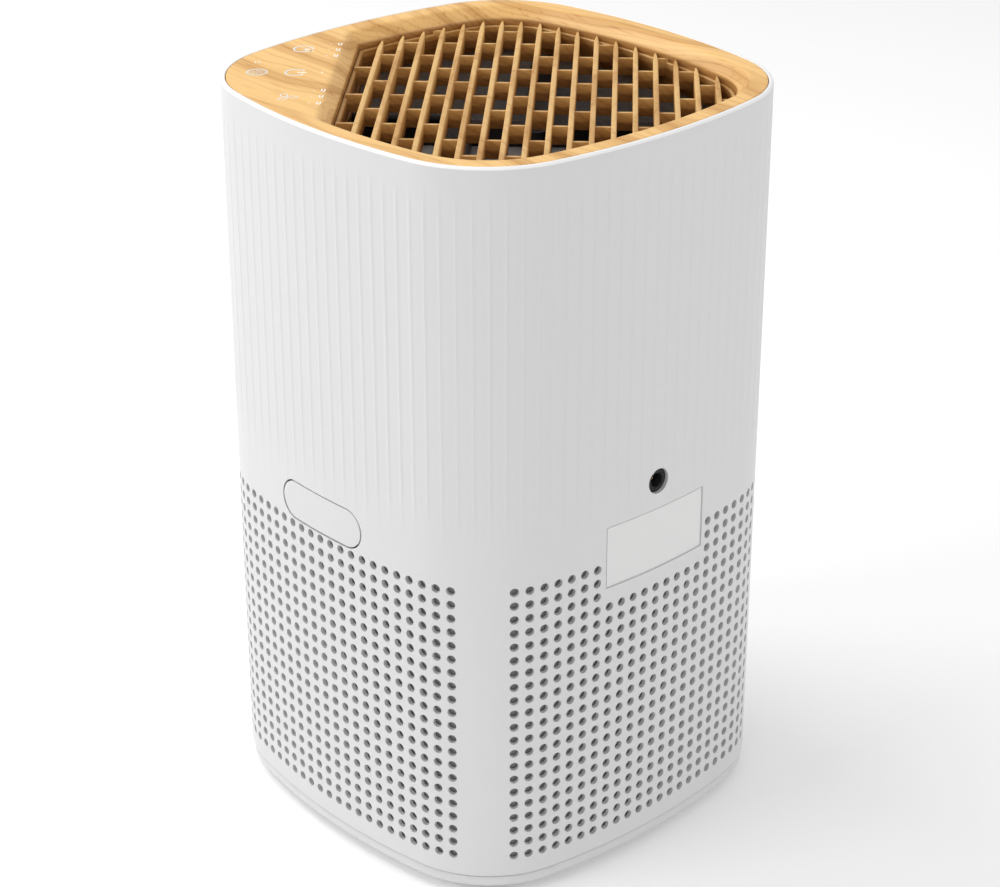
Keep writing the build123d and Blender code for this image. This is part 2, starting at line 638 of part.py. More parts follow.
def make_fan_deck():
    with BuildPart() as deck:
        with BuildSketch(Plane.XY.offset(DECK_HEIGHT)):
            add(outline(DECK_INSET, DECK_HEIGHT))
            with Locations(*at_corners(LUG_REACH)):
                Circle(LUG_RADIUS)
            Circle(DECK_EYE, mode=Mode.SUBTRACT)
            with Locations(*at_corners(LUG_REACH)):
                Circle(PASS_RADIUS, mode=Mode.SUBTRACT)
            with Locations(*at_corners(PILLAR_REACH)):
                Circle(PASS_RADIUS, mode=Mode.SUBTRACT)
        extrude(amount=PLATE)
    finish(deck.part, "fan_deck")


def make_inlet_ring():
    foot = DECK_HEIGHT + PLATE
    inner = DECK_EYE
    outer = inner + INLET_WALL
    reach, thickness = INLET_FLANGE
    with BuildPart() as ring:
        with BuildSketch(Plane.XZ):
            with BuildLine():
                Polyline((inner, foot), (outer + reach, foot), (outer + reach, foot + thickness),
                         (outer, foot + thickness), (outer, INLET_LIP), (inner, INLET_LIP), (inner, foot))
            make_face()
        revolve(axis=Axis.Z)
    finish(ring.part, "inlet_ring")


def make_fan_casing():
    with BuildPart() as casing:
        with BuildSketch(Plane.XY.offset(CASING_FLOOR)):
            Circle(CASING_RADIUS)
            Circle(DECK_EYE + INLET_WALL + 0.2, mode=Mode.SUBTRACT)
        extrude(amount=PLATE)
        with BuildSketch(Plane.XY.offset(CASING_FLOOR)):
            Circle(CASING_RADIUS)
            Circle(CASING_RADIUS - CASING_WALL, mode=Mode.SUBTRACT)
        extrude(amount=CASING_TOP - CASING_FLOOR)
        # top flange with four screw lugs
        with BuildSketch(Plane.XY.offset(CASING_TOP)):
            Circle(FLANGE_RADIUS)
            with PolarLocations(DUCT_LUG_REACH, 4):
                Circle(PILLAR_RADIUS)
            Circle(CASING_RADIUS - CASING_WALL, mode=Mode.SUBTRACT)
        extrude(amount=-CASING_LUG)
        with BuildSketch(Plane.XY.offset(CASING_TOP)):
            with PolarLocations(DUCT_LUG_REACH, 4):
                Circle(PILOT_RADIUS)
        extrude(amount=-CASING_LUG, mode=Mode.SUBTRACT)
        # pillars down to the fan deck
        with BuildSketch(Plane.XY.offset(DECK_HEIGHT + PLATE)):
            with Locations(*at_corners(PILLAR_REACH)):
                Circle(PILLAR_RADIUS)
        extrude(amount=CASING_FLOOR - DECK_HEIGHT - PLATE)
        with BuildSketch(Plane.XY.offset(DECK_HEIGHT + PLATE)):
            with Locations(*at_corners(PILLAR_REACH)):
                Circle(PILOT_RADIUS)
        extrude(amount=PILOT_DEPTH, mode=Mode.SUBTRACT)
    finish(casing.part, "fan_casing")


def make_air_duct():
    with BuildPart() as duct:
        bottom = CASING_TOP
        with BuildSketch(Plane.XY.offset(bottom)):
            Circle(FLANGE_RADIUS)
            add(outlet(DUCT_INSET - COLLAR_WALL, DUCT_EDGE - COLLAR_WALL, bottom))
            with PolarLocations(DUCT_LUG_REACH, 4):
                Circle(PILLAR_RADIUS)
        extrude(amount=PLATE)
        outer = outlet(DUCT_INSET - COLLAR_WALL, DUCT_EDGE - COLLAR_WALL, DUCT_BOTTOM)
        extrude(outer - outlet(DUCT_INSET, DUCT_EDGE, DUCT_BOTTOM), amount=DUCT_TOP - DUCT_BOTTOM)
        with BuildSketch(Plane.XY.offset(bottom)):
            add(outlet(DUCT_INSET, DUCT_EDGE, bottom))
            Circle(CASING_RADIUS - CASING_WALL, mode=Mode.INTERSECT)
        extrude(amount=PLATE, mode=Mode.SUBTRACT)
        with BuildSketch(Plane.XY.offset(bottom)):
            with PolarLocations(DUCT_LUG_REACH, 4):
                Circle(PASS_RADIUS)
        extrude(amount=PLATE, mode=Mode.SUBTRACT)
        # hole for the motor's lead
        lead = Plane((*across(DUCT_EDGE + 2, LEAD_LINE), MOTOR_LEAD_HEIGHT), z_dir=(-1, -1, 0))
        with BuildSketch(lead):
            Circle(LEAD_RADIUS + 0.6)
        extrude(amount=6, mode=Mode.SUBTRACT)
    finish(duct.part, "air_duct")


def make_impeller():
    eye = DECK_EYE + INLET_WALL + RUNNING_GAP
    with BuildPart() as impeller:
        with BuildSketch(Plane.XY.offset(IMPELLER_BOTTOM)):
            Circle(IMPELLER_RADIUS)
            Circle(eye, mode=Mode.SUBTRACT)
        extrude(amount=SHROUD)
        with BuildSketch(Plane.XY.offset(IMPELLER_TOP)):
            Circle(IMPELLER_RADIUS)
        extrude(amount=-SHROUD)
        with BuildSketch(Plane.XY.offset(IMPELLER_TOP - SHROUD)):
            with PolarLocations(0, BLADES):
                add(blade_line(eye))
        extrude(amount=IMPELLER_BOTTOM + SHROUD - (IMPELLER_TOP - SHROUD))
        # the blades' inner ends stop above the inlet's lip
        with BuildSketch(Plane.XY.offset(IMPELLER_BOTTOM)):
            Circle(eye)
        extrude(amount=INLET_LIP + RUNNING_GAP - IMPELLER_BOTTOM, mode=Mode.SUBTRACT)
        with BuildSketch(Plane.XY.offset(HUB_TOP)):
            Circle(HUB_RADIUS)
        extrude(amount=HUB_BOTTOM - HUB_TOP)
        with BuildSketch(Plane.XY.offset(HUB_TOP)):
            Circle(SHAFT_RADIUS + SHAFT_FIT)
        extrude(amount=HUB_BOTTOM - HUB_TOP, mode=Mode.SUBTRACT)
    finish(impeller.part, "impeller")


def blade_line(eye):
    """Sketch of one backward-curved blade."""
    with BuildSketch() as sketch:
        with BuildLine():
            start = (BLADE_INNER, 0)
            eye_turn, rim_turn = BLADE_TURNS
            middle = (eye * cos(radians(eye_turn)), eye * sin(radians(eye_turn)))
            end_reach = IMPELLER_RADIUS - 0.5
            end = (end_reach * cos(radians(rim_turn)), end_reach * sin(radians(rim_turn)))
            ThreePointArc(start, middle, end)
        trace(line_width=BLADE_THICKNESS)
    return sketch.sketch


def make_motor():
    with BuildPart() as cup:
        with BuildSketch(Plane.XY.offset(CUP_BOTTOM)):
            Circle(CUP_RADIUS)
        extrude(amount=BRACKET_BOTTOM - CUP_BOTTOM)
        chamfer(cup.edges().group_by(Axis.Z)[-1], CUP_BEVEL)
        with BuildSketch(Plane.XY.offset(CUP_BOTTOM)):
            Circle(CUP_RADIUS - CUP_WALL)
        extrude(amount=BRACKET_BOTTOM - CUP_BOTTOM - CUP_TOP_PLATE, mode=Mode.SUBTRACT)
        with BuildSketch(Plane.XY.offset(BRACKET_BOTTOM)):
            with Locations(*[across(u, v) for u, v in BRACKET_SCREWS]):
                Circle(PILOT_RADIUS)
        extrude(amount=-CUP_TOP_PLATE, mode=Mode.SUBTRACT)
        with BuildSketch(Plane.XY.offset(CUP_BOTTOM)):
            Circle(CUP_RADIUS - CUP_WALL / 2)
            Circle(BEARING_RADIUS, mode=Mode.SUBTRACT)
        extrude(amount=BEARING_TALL)
        with BuildSketch(Plane.XY.offset(BRACKET_BOTTOM - CUP_TOP_PLATE)):
            Circle(BEARING_RADIUS + 2)
            Circle(BEARING_RADIUS, mode=Mode.SUBTRACT)
        extrude(amount=-BEARING_TALL)
    finish(cup.part, "motor_cup")
    with BuildPart() as bearings:
        for bottom in (CUP_BOTTOM, BRACKET_BOTTOM - CUP_TOP_PLATE - BEARING_TALL):
            with BuildSketch(Plane.XY.offset(bottom)):
                Circle(BEARING_RADIUS)
                Circle(SHAFT_RADIUS + SHAFT_FIT, mode=Mode.SUBTRACT)
            extrude(amount=BEARING_TALL)
    finish(bearings.part, "motor_bearings")
    core_bottom = CUP_BOTTOM + BEARING_TALL + STATOR_GAP
    core_top = BRACKET_BOTTOM - CUP_TOP_PLATE - BEARING_TALL - STATOR_GAP
    with BuildPart() as stator:
        with BuildSketch(Plane.XY.offset(core_bottom)):
            Circle(CUP_RADIUS - CUP_WALL)
            Circle(STATOR_BORE, mode=Mode.SUBTRACT)
            with PolarLocations((STATOR_BORE + CUP_RADIUS - CUP_WALL) / 2, 6):
                SlotOverall(*STATOR_SLOT, mode=Mode.SUBTRACT)
        extrude(amount=core_top - core_bottom)
    finish(stator.part, "motor_stator")
    with BuildPart() as rotor:
        with BuildSketch(Plane.XY.offset(core_bottom)):
            Circle(STATOR_BORE - ROTOR_GAP)
            Circle(SHAFT_RADIUS + SHAFT_FIT, mode=Mode.SUBTRACT)
        extrude(amount=core_top - core_bottom)
    finish(rotor.part, "motor_rotor")
    with BuildPart() as shaft:
        with BuildSketch(Plane.XY.offset(HUB_BOTTOM - SHAFT_END)):
            Circle(SHAFT_RADIUS)
        extrude(amount=BRACKET_BOTTOM - CUP_TOP_PLATE - 0.5 - (HUB_BOTTOM - SHAFT_END))
        chamfer(shaft.edges().group_by(Axis.Z)[0], 0.5)
    finish(shaft.part, "motor_shaft")
    with BuildPart() as nut:
        with BuildSketch(Plane.XY.offset(HUB_BOTTOM)):
            RegularPolygon(NUT_RADIUS, 6)
            Circle(SHAFT_RADIUS + SHAFT_FIT, mode=Mode.SUBTRACT)
        extrude(amount=-NUT_TALL)
    finish(nut.part, "impeller_nut")


def make_motor_bracket():
    """Black arms over the motor cup, ending at the duct's wall."""
    with BuildPart() as bracket:
        with BuildSketch(Plane.XY.offset(BRACKET_BOTTOM)):
            with Locations(across(0, CROSS_OFFSET)):
                Rectangle(2 * WIDTH, ARM_WIDTH, rotation=45)
            with Locations(across(ARM_OFFSET, CROSS_OFFSET - ARM_WIDTH / 2 + WIDTH / 2)):
                Rectangle(ARM_WIDTH, WIDTH, rotation=45)
            with Locations(across(-ARM_OFFSET, CROSS_OFFSET + ARM_WIDTH / 2 - WIDTH / 2)):
                Rectangle(ARM_WIDTH, WIDTH, rotation=45)
            with Locations(across(ARM_OFFSET, 8), across(-ARM_OFFSET, -8)):
                Circle(ARM_WIDTH / 2)
            add(outlet(DUCT_INSET, DUCT_EDGE, BRACKET_BOTTOM), mode=Mode.INTERSECT)
            with Locations(*[across(u, v) for u, v in BRACKET_SCREWS]):
                Circle(PASS_RADIUS, mode=Mode.SUBTRACT)
        extrude(amount=BRACKET_TOP - BRACKET_BOTTOM)
        with BuildSketch(Plane.XY.offset(BRACKET_TOP)):
            with Locations(*[across(u, v) for u, v in BRACKET_SCREWS]):
                Circle(SCREW_HEAD + 0.2)
        extrude(amount=-SCREW_HEAD_TALL, mode=Mode.SUBTRACT)
    finish(bracket.part, "motor_bracket")


# --- top cover and grille -------------------------------------------------------------------------

def make_top_cover():
    inset = HOUSING_WALL + RIM_GAP
    with BuildPart() as cover:
        extrude(outline(inset, COVER_PLATE_BOTTOM), amount=COVER_PLATE)
        extrude(outline(inset, LEDGE_HEIGHT) - outline(inset + COVER_SKIRT, LEDGE_HEIGHT),
                amount=COVER_PLATE_BOTTOM - LEDGE_HEIGHT)
        # collar around the outlet
        extrude(outlet(OUTLET_INSET - COLLAR_WALL, OUTLET_EDGE - COLLAR_WALL, DUCT_TOP),
                amount=COVER_PLATE_BOTTOM - DUCT_TOP)
        extrude(outlet(OUTLET_INSET, OUTLET_EDGE, DUCT_TOP + COLLAR_LIP), amount=HEIGHT,
                mode=Mode.SUBTRACT)
        extrude(outlet(OUTLET_INSET + COLLAR_WALL, OUTLET_EDGE + COLLAR_WALL, DUCT_TOP),
                amount=COLLAR_LIP, mode=Mode.SUBTRACT)
        # sloping edge down to the slats
        extrude(outlet(OUTLET_INSET, OUTLET_EDGE, SLAT_TOP), amount=BEVEL, taper=-45,
                mode=Mode.SUBTRACT)
        # screw bosses at the corners and under the touch panel
        with BuildSketch(Plane.XY.offset(LEDGE_HEIGHT)):
            with Locations(*at_corners(COVER_SCREW_REACH)):
                Circle(BOSS_RADIUS)
        extrude(amount=COVER_PLATE_BOTTOM - LEDGE_HEIGHT)
        with BuildSketch(Plane.XY.offset(BOARD_TOP)):
            with Locations(*[across(u, v) for u, v in BOARD_FIXINGS]):
                Circle(BOSS_RADIUS - 0.5)
        extrude(amount=COVER_PLATE_BOTTOM - BOARD_TOP)
        with BuildSketch(Plane.XY.offset(DUCT_TOP)):
            with Locations(*at_corners(COVER_SCREW_REACH), *[across(u, v) for u, v in BOARD_FIXINGS]):
                Circle(PILOT_RADIUS)
        extrude(amount=COVER_PLATE_BOTTOM + 1.5 - DUCT_TOP, mode=Mode.SUBTRACT)
    finish(cover.part, "top_cover")


def make_outlet_grille():
    inset = OUTLET_INSET + GRILLE_GAP
    edge = OUTLET_EDGE + GRILLE_GAP
    bottom = DUCT_TOP + COLLAR_LIP
    first = OUTLET_EDGE + SLAT_PITCH + SLAT_START
    with BuildPart() as grille:
        frame = outlet(inset, edge, bottom) - outlet(inset + GRILLE_FRAME, edge + GRILLE_FRAME, bottom)
        extrude(frame, amount=SLAT_TOP - bottom)
        with BuildSketch(Plane.XY.offset(RIB_BOTTOM)):
            for slat in range(SLATS):
                with Locations(across(first + slat * SLAT_PITCH, 0)):
                    Rectangle(SLAT_WIDTH, 2 * WIDTH, rotation=45)
            add(outlet(inset + GRILLE_FRAME / 2, edge + GRILLE_FRAME / 2, RIB_BOTTOM),
                mode=Mode.INTERSECT)
        extrude(amount=SLAT_DEPTH)
        with BuildSketch(Plane.XY.offset(RIB_BOTTOM)):
            for bay in range(SLATS + 1):
                middle = first + (bay - 0.5) * SLAT_PITCH
                for step in range(-4, 5):
                    shift = (step + 0.5 * (bay % 2)) * RIB_PITCH + RIB_START
                    with Locations(across(middle, shift)):
                        Rectangle(SLAT_PITCH, RIB_THICKNESS, rotation=45)
            add(outlet(inset + GRILLE_FRAME / 2, edge + GRILLE_FRAME / 2, RIB_BOTTOM),
                mode=Mode.INTERSECT)
        extrude(amount=SLAT_DEPTH - RIB_DROP)
    finish(grille.part, "outlet_grille")


# --- control board --------------------------------------------------------------------------------

def make_control_board():
    with BuildPart() as board:
        with BuildSketch(Plane.XY.offset(BOARD_BOTTOM)):
            add(outline(BOARD_INSET, BOARD_BOTTOM))
            with Locations(across(BOARD_EDGE - WIDTH, 0)):
                Rectangle(2 * WIDTH, 4 * WIDTH, rotation=45, mode=Mode.INTERSECT)
            with Locations(*at_corners(COVER_SCREW_REACH)):
                Circle(BOSS_RADIUS + 1, mode=Mode.SUBTRACT)
            with Locations(*[across(u, v) for u, v in BOARD_FIXINGS]):
                Circle(PASS_RADIUS, mode=Mode.SUBTRACT)
        extrude(amount=BOARD_THICKNESS)
    finish(board.part, "control_board")
    with BuildPart() as keys:
        with BuildSketch(Plane.XY.offset(BOARD_TOP)):
            with Locations(*[across(u, v) for u, v in KEY_SPOTS]):
                Circle(KEY_RADIUS)
                Circle(KEY_RADIUS - KEY_WIRE, mode=Mode.SUBTRACT)
        extrude(amount=BOARD_DROP)
    finish(keys.part, "touch_springs")
    with BuildPart() as guides:
        with BuildSketch(Plane.XY.offset(BOARD_TOP)):
            with Locations(*[across(u, v) for u, v in GUIDE_SPOTS]):
                Rectangle(*GUIDE_SIZE, rotation=45)
        extrude(amount=BOARD_DROP)
    finish(guides.part, "indicator_light_guides")
    with BuildPart() as socket:
        with BuildSketch(Plane.XY.offset(BOARD_BOTTOM)):
            with Locations(across(CONNECTOR_REACH, LEAD_LINE)):
                Rectangle(*CONNECTOR_SIZE, rotation=45)
        extrude(amount=-CONNECTOR_TALL)
    finish(socket.part, "motor_connector")
    with BuildPart() as power_socket:
        with BuildSketch(Plane.XY.offset(BOARD_BOTTOM)):
            with Locations(across(POWER_REACH, -POWER_SIDE)):
                Rectangle(*CONNECTOR_SIZE, rotation=45)
        extrude(amount=-CONNECTOR_TALL)
    finish(power_socket.part, "power_connector")


# --- power inlet ----------------------------------------------------------------------------------

def make_power_inlet():
    side, depth = JACK_BODY
    plane = Plane((JACK_FACE, 0, INLET_HEIGHT), x_dir=(0, 1, 0), z_dir=(-1, 0, 0))
    plate = HALF - HOUSING_WALL - BOSS_TALL
    with BuildPart() as jack:
        with BuildSketch(plane):
            Rectangle(side, side)
        extrude(amount=depth)
        with BuildSketch(plane):
            Circle(INLET_DIAMETER / 2 - 0.3)
        extrude(amount=-JACK_NOSE)
        with BuildSketch(plane.offset(-JACK_NOSE)):
            Circle(BARREL_RADIUS)
        extrude(amount=BARREL_DEPTH + JACK_NOSE, mode=Mode.SUBTRACT)
    finish(jack.part, "power_jack")
    with BuildPart() as pin:
        with BuildSketch(plane.offset(BARREL_DEPTH)):
            Circle(JACK_PIN_RADIUS)
        extrude(amount=-BARREL_DEPTH + 1.0)
        chamfer(pin.edges().group_by(Axis.X)[-1], 0.3)
    finish(pin.part, "power_jack_pin")
    with BuildPart() as bracket:
        with BuildSketch(Plane((plate, 0, INLET_HEIGHT), x_dir=(0, 1, 0), z_dir=(-1, 0, 0))):
            Rectangle(2 * BRACKET_SPAN + 8, side + 4)
            Rectangle(side, side, mode=Mode.SUBTRACT)
            with Locations((-BRACKET_SPAN, 0), (BRACKET_SPAN, 0)):
                Circle(PASS_RADIUS, mode=Mode.SUBTRACT)
        extrude(amount=BRACKET_PLATE)
    finish(bracket.part, "jack_bracket")
    seat = plate - BRACKET_PLATE
    with BuildPart() as fixings:
        for y in (-BRACKET_SPAN, BRACKET_SPAN):
            spot = Plane((seat, y, INLET_HEIGHT), x_dir=(0, 1, 0), z_dir=(-1, 0, 0))
            with BuildSketch(spot):
                Circle(SCREW_HEAD)
            extrude(amount=SCREW_HEAD_TALL)
            with BuildSketch(spot):
                Circle(SCREW_RADIUS)
            extrude(amount=-JACK_SCREW)
    finish(fixings.part, "jack_screws")


# --- aroma tray -----------------------------------------------------------------------------------

def tray_plane(y):
    """A plane across the tray's travel, facing into the body."""
    return Plane((0, y, TRAY_MIDDLE), x_dir=(1, 0, 0), z_dir=(0, 1, 0))


def make_aroma_tray():
    with BuildPart() as tray:
        with BuildSketch(tray_plane(-HALF - 1)):
            SlotOverall(TRAY_LENGTH - 2 * TRAY_GAP, TRAY_TALL - 2 * TRAY_GAP)
        extrude(amount=FRONT_BACK + HALF + 1)
        add(extrude(outline(0, 0), amount=HEIGHT, mode=Mode.PRIVATE), mode=Mode.INTERSECT)
        with BuildSketch(tray_plane(FRONT_BACK)):
            Rectangle(DRAWER_WIDTH, DRAWER_TALL)
        extrude(amount=DRAWER_BACK - FRONT_BACK)
        # pocket, open at the top
        middle = (FRONT_BACK + DRAWER_BACK) / 2
        with BuildSketch(Plane.XY.offset(TRAY_MIDDLE + DRAWER_TALL / 2)):
            with Locations((0, middle)):
                Rectangle(DRAWER_WIDTH - 2 * DRAWER_WALL, DRAWER_BACK - FRONT_BACK - 2 * DRAWER_WALL)
        extrude(amount=DRAWER_WALL - DRAWER_TALL, mode=Mode.SUBTRACT)
    finish(tray.part, "aroma_tray")
    with BuildPart() as pad:
        width = DRAWER_WIDTH - 2 * DRAWER_WALL - 2 * PAD_GAP
        depth = DRAWER_BACK - FRONT_BACK - 2 * DRAWER_WALL - 2 * PAD_GAP
        with BuildSketch(Plane.XY.offset(TRAY_MIDDLE - DRAWER_TALL / 2 + DRAWER_WALL)):
            with Locations((0, middle)):
                RectangleRounded(width, depth, PAD_CORNER)
        extrude(amount=PAD_THICKNESS)
    finish(pad.part, "aroma_pad")
    with BuildPart() as sleeve:
        with BuildSketch(tray_plane(SLEEVE_FRONT)):
            outer = 2 * (SLEEVE_GAP + SLEEVE_WALL)
            Rectangle(DRAWER_WIDTH + outer, DRAWER_TALL + outer)
            inner = 2 * SLEEVE_GAP
            Rectangle(DRAWER_WIDTH + inner, DRAWER_TALL + inner, mode=Mode.SUBTRACT)
        extrude(amount=DRAWER_BACK + SLEEVE_STOP + 0.2 - SLEEVE_FRONT)
        with BuildSketch(tray_plane(DRAWER_BACK + SLEEVE_STOP)):
            Rectangle(DRAWER_WIDTH + outer, DRAWER_TALL + outer)
        extrude(amount=SLEEVE_WALL)
        # legs down to the fan deck
        leg = TRAY_MIDDLE - DRAWER_TALL / 2 - SLEEVE_GAP - SLEEVE_WALL - DECK_HEIGHT - PLATE
        with BuildSketch(Plane.XY.offset(DECK_HEIGHT + PLATE)):
            with Locations(*SLEEVE_LEG_SPOTS):
                Rectangle(*SLEEVE_LEG)
        extrude(amount=leg + SLEEVE_WALL / 2)
    finish(sleeve.part, "aroma_sleeve")


# --- leads ----------------------------------------------------------------------------------------

def lead(label, route, bend):
    """A held lead: straight runs joined by arcs, swept as one round tube."""
    with BuildPart() as wire:
        with BuildLine() as path:
            FilletPolyline(*route, radius=bend)
        with BuildSketch(Plane(origin=path.line @ 0, z_dir=path.line % 0)):
            Circle(LEAD_RADIUS)
        sweep()
    finish(wire.part, label)


def make_leads():
    """Power from the jack round the near side to the board; motor along its arm to the board."""
    start = JACK_FACE - JACK_BODY[1] + LEAD_RADIUS + 1
    low = INLET_HEIGHT + JACK_BODY[0] / 2
    goal = across(POWER_REACH, -POWER_SIDE)
    socket_bottom = BOARD_BOTTOM - CONNECTOR_TALL
    lane = socket_bottom - LEAD_LANE
    route = [(start, 0, low), (start, 0, low + 14)]
    run_end = -QUARTER_RUN - FACE_RUN * 0.62
    for step in range(LEAD_STEPS + 1):
        share = step / LEAD_STEPS
        run = -14 + (run_end + 14) * share
        x, y = around(run, LEAD_INSET)[0]
        route.append((x, y, low + 60 + (lane - low - 60) * min(1, 1.6 * share)))
    route.append((goal[0], goal[1], lane + 8))
    route.append((goal[0], goal[1], socket_bottom))
    lead("power_lead", route, POWER_LEAD_BEND)
    inner = across(MOTOR_LEAD_START, LEAD_LINE)
    turn = across(CONNECTOR_REACH, LEAD_LINE)
    motor = [(*inner, MOTOR_LEAD_HEIGHT), (*turn, MOTOR_LEAD_HEIGHT), (*turn, socket_bottom)]
    lead("motor_lead", motor, MOTOR_LEAD_BEND)


# --- build ----------------------------------------------------------------------------------------

make_outer_housing()
make_rating_label()
make_base_tray()
make_feet()
make_filter_cover()
make_filter()
make_fan_deck()
make_inlet_ring()
make_fan_casing()
make_air_duct()
make_impeller()
make_motor()
make_motor_bracket()
make_top_cover()
make_outlet_grille()
make_control_board()
make_power_inlet()
make_aroma_tray()
make_leads()
duct_lugs = [(DUCT_LUG_REACH, 0), (0, DUCT_LUG_REACH), (-DUCT_LUG_REACH, 0), (0, -DUCT_LUG_REACH)]
bracket_fixings = [across(u, v) for u, v in BRACKET_SCREWS]
board_fixings = [across(u, v) for u, v in BOARD_FIXINGS]
screws("base_screws", at_corners(FOOT_REACH), BASE_SCREW_SEAT, BASE_SCREW, up=True)
screws("deck_screws", at_corners(LUG_REACH), DECK_HEIGHT + PLATE, DECK_SCREW)
screws("casing_screws", at_corners(PILLAR_REACH), DECK_HEIGHT, CASING_SCREW, up=True)
screws("duct_screws", duct_lugs, DUCT_BOTTOM, DUCT_SCREW)
screws("bracket_screws", bracket_fixings, BRACKET_TOP - SCREW_HEAD_TALL, BRACKET_SCREW)
screws("cover_screws", at_corners(COVER_SCREW_REACH), LEDGE_HEIGHT - LEDGE_THICKNESS, COVER_SCREW, up=True)
screws("board_screws", board_fixings, BOARD_BOTTOM, BOARD_SCREW, up=True)
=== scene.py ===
"""Looks for a fluted, perforated desktop air purifier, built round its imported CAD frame."""

from math import atan2, cos, hypot, pi, radians, sin, sqrt

import bmesh
import bpy
import numpy as np
from bpy.props import FloatProperty, FloatVectorProperty, IntProperty, PointerProperty
from mathutils import Matrix, Vector
from mathutils.kdtree import KDTree


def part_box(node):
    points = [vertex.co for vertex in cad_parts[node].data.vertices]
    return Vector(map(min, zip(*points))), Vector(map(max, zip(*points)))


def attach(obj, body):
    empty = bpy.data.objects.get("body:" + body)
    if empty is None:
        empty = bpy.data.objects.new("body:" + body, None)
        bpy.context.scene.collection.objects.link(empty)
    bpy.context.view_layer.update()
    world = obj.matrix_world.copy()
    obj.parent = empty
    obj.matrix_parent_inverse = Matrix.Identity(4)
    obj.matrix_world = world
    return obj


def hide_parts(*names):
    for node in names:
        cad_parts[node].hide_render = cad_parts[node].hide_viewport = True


bl_info = {
    "name": "Air Purifier Builder",
    "version": (1, 0, 0),
    "blender": (4, 5, 0),
    "location": "3D View > Sidebar > Purifier",
    "description": "Builds the visible pieces of a square-bodied desktop air purifier",
    "category": "Object",
}

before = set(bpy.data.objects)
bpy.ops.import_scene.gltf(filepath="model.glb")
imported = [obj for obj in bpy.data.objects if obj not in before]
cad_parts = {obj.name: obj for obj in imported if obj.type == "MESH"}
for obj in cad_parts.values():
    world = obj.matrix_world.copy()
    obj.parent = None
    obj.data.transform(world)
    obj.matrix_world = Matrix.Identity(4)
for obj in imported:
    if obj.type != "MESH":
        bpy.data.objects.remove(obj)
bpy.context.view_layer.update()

MM = 0.001
HOUSING_LOW, HOUSING_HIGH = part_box("outer_housing")
COVER_LOW, COVER_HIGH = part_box("top_cover")
GRILLE_LOW, GRILLE_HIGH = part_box("outlet_grille")
TRAY_LOW, TRAY_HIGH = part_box("aroma_tray")
LABEL_LOW, LABEL_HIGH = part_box("rating_label")
JACK_LOW, JACK_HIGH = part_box("power_jack")


# --- sizes and colours a user may change --------------------------------------------------------

def length(name, description, default, low=0.0):
    """A size property in metres."""
    return FloatProperty(name=name, description=description, default=default, min=low,
                         subtype="DISTANCE", unit="LENGTH", precision=5)


def colour(name, description, default):
    """A colour property, linear."""
    return FloatVectorProperty(name=name, description=description, default=default, size=3,
                               min=0.0, max=1.0, subtype="COLOR")


class HousingSettings(bpy.types.PropertyGroup):
    """Sizes of the white housing."""

    face_radius: length("Face radius", "Plan radius of each bowed face", 0.292)
    corner_radius: length("Corner radius", "Plan radius of each corner", 0.050)
    wall: length("Wall", "Thickness of the moulded wall", 0.002)
    flutes: IntProperty(name="Flutes", description="Flutes in a quarter turn", default=26, min=4)
    flute_depth: length("Flute depth", "Depth of a flute where it is deepest", 0.00022)
    hole_diameter: length("Hole diameter", "Diameter of an intake hole", 0.0040)
    hole_columns: IntProperty(name="Hole columns", description="Columns on a face", default=23)
    hole_rows: IntProperty(name="Hole rows", description="Rows on a face", default=21)
    hole_row_pitch: length("Row pitch", "Height from row to row", 0.0064)
    hole_bottom: length("Lowest row", "Height of the lowest row of holes", 0.0203)
    rim_round: length("Rim rounding", "Rounding of the rim's outer edge", 0.0013)


class CoverSettings(bpy.types.PropertyGroup):
    """Sizes of the wood-look cover and its outlet."""

    band: length("Band", "Flat band from the body's outside to the outlet", 0.010)
    bevel: length("Slope", "Width and depth of the outlet's sloping edge", 0.005)
    panel_edge: FloatProperty(name="Panel edge", description="Straight side of the outlet, "
                              "across from the middle", default=-0.068, subtype="DISTANCE",
                              unit="LENGTH")
    corner: length("Outlet corner", "Rounding at the ends of the straight side", 0.009)
    slats: IntProperty(name="Slats", description="Slats in the outlet", default=18)
    slat_pitch: length("Slat pitch", "Distance between slats", 0.00854)
    slat_width: length("Slat width", "Thickness of a slat", 0.0022)
    slat_depth: length("Slat depth", "Depth of a slat", 0.009)
    rib_pitch: length("Rib pitch", "Distance between ribs in one bay", 0.0369)
    rib_start: FloatProperty(name="Rib start", description="Place of the first rib along a bay",
                             default=-0.0085, subtype="DISTANCE", unit="LENGTH")
    rib_thickness: length("Rib thickness", "Thickness of a cross rib", 0.0016)
    rib_drop: length("Rib drop", "How far ribs stop below the slats", 0.0015)


class FinishSettings(bpy.types.PropertyGroup):
    """Colours of the visible materials."""

    white: colour("White", "Housing plastic", (0.64, 0.64, 0.638))
    wood_light: colour("Wood, light", "Pale growth of the wood look", (0.93, 0.58, 0.215))
    wood_dark: colour("Wood, dark", "Dark growth lines of the wood look", (0.55, 0.26, 0.062))
    # Painted shade: the colour the wood is darkened to down inside the outlet.
    wood_painted_shade: colour("Wood, recessed", "Painted shade on the wood down inside the outlet",
                      (0.36, 0.165, 0.042))
    print_white: colour("Print", "Printed symbols", (0.97, 0.95, 0.88))
    black: colour("Black", "Fan and bracket plastic", (0.012, 0.012, 0.014))
    duct: colour("Duct", "Plain inner mouldings", (0.48, 0.50, 0.53))
    lining: colour("Lining", "Grey cloth behind the intake holes", (0.44, 0.44, 0.45))
    net: colour("Net", "Pre-filter net", (0.30, 0.31, 0.32))


def settings():
    """The scene's three groups of settings."""
    scene = bpy.context.scene
    return scene.purifier_housing, scene.purifier_cover, scene.purifier_finish


# --- plan shape ---------------------------------------------------------------------------------

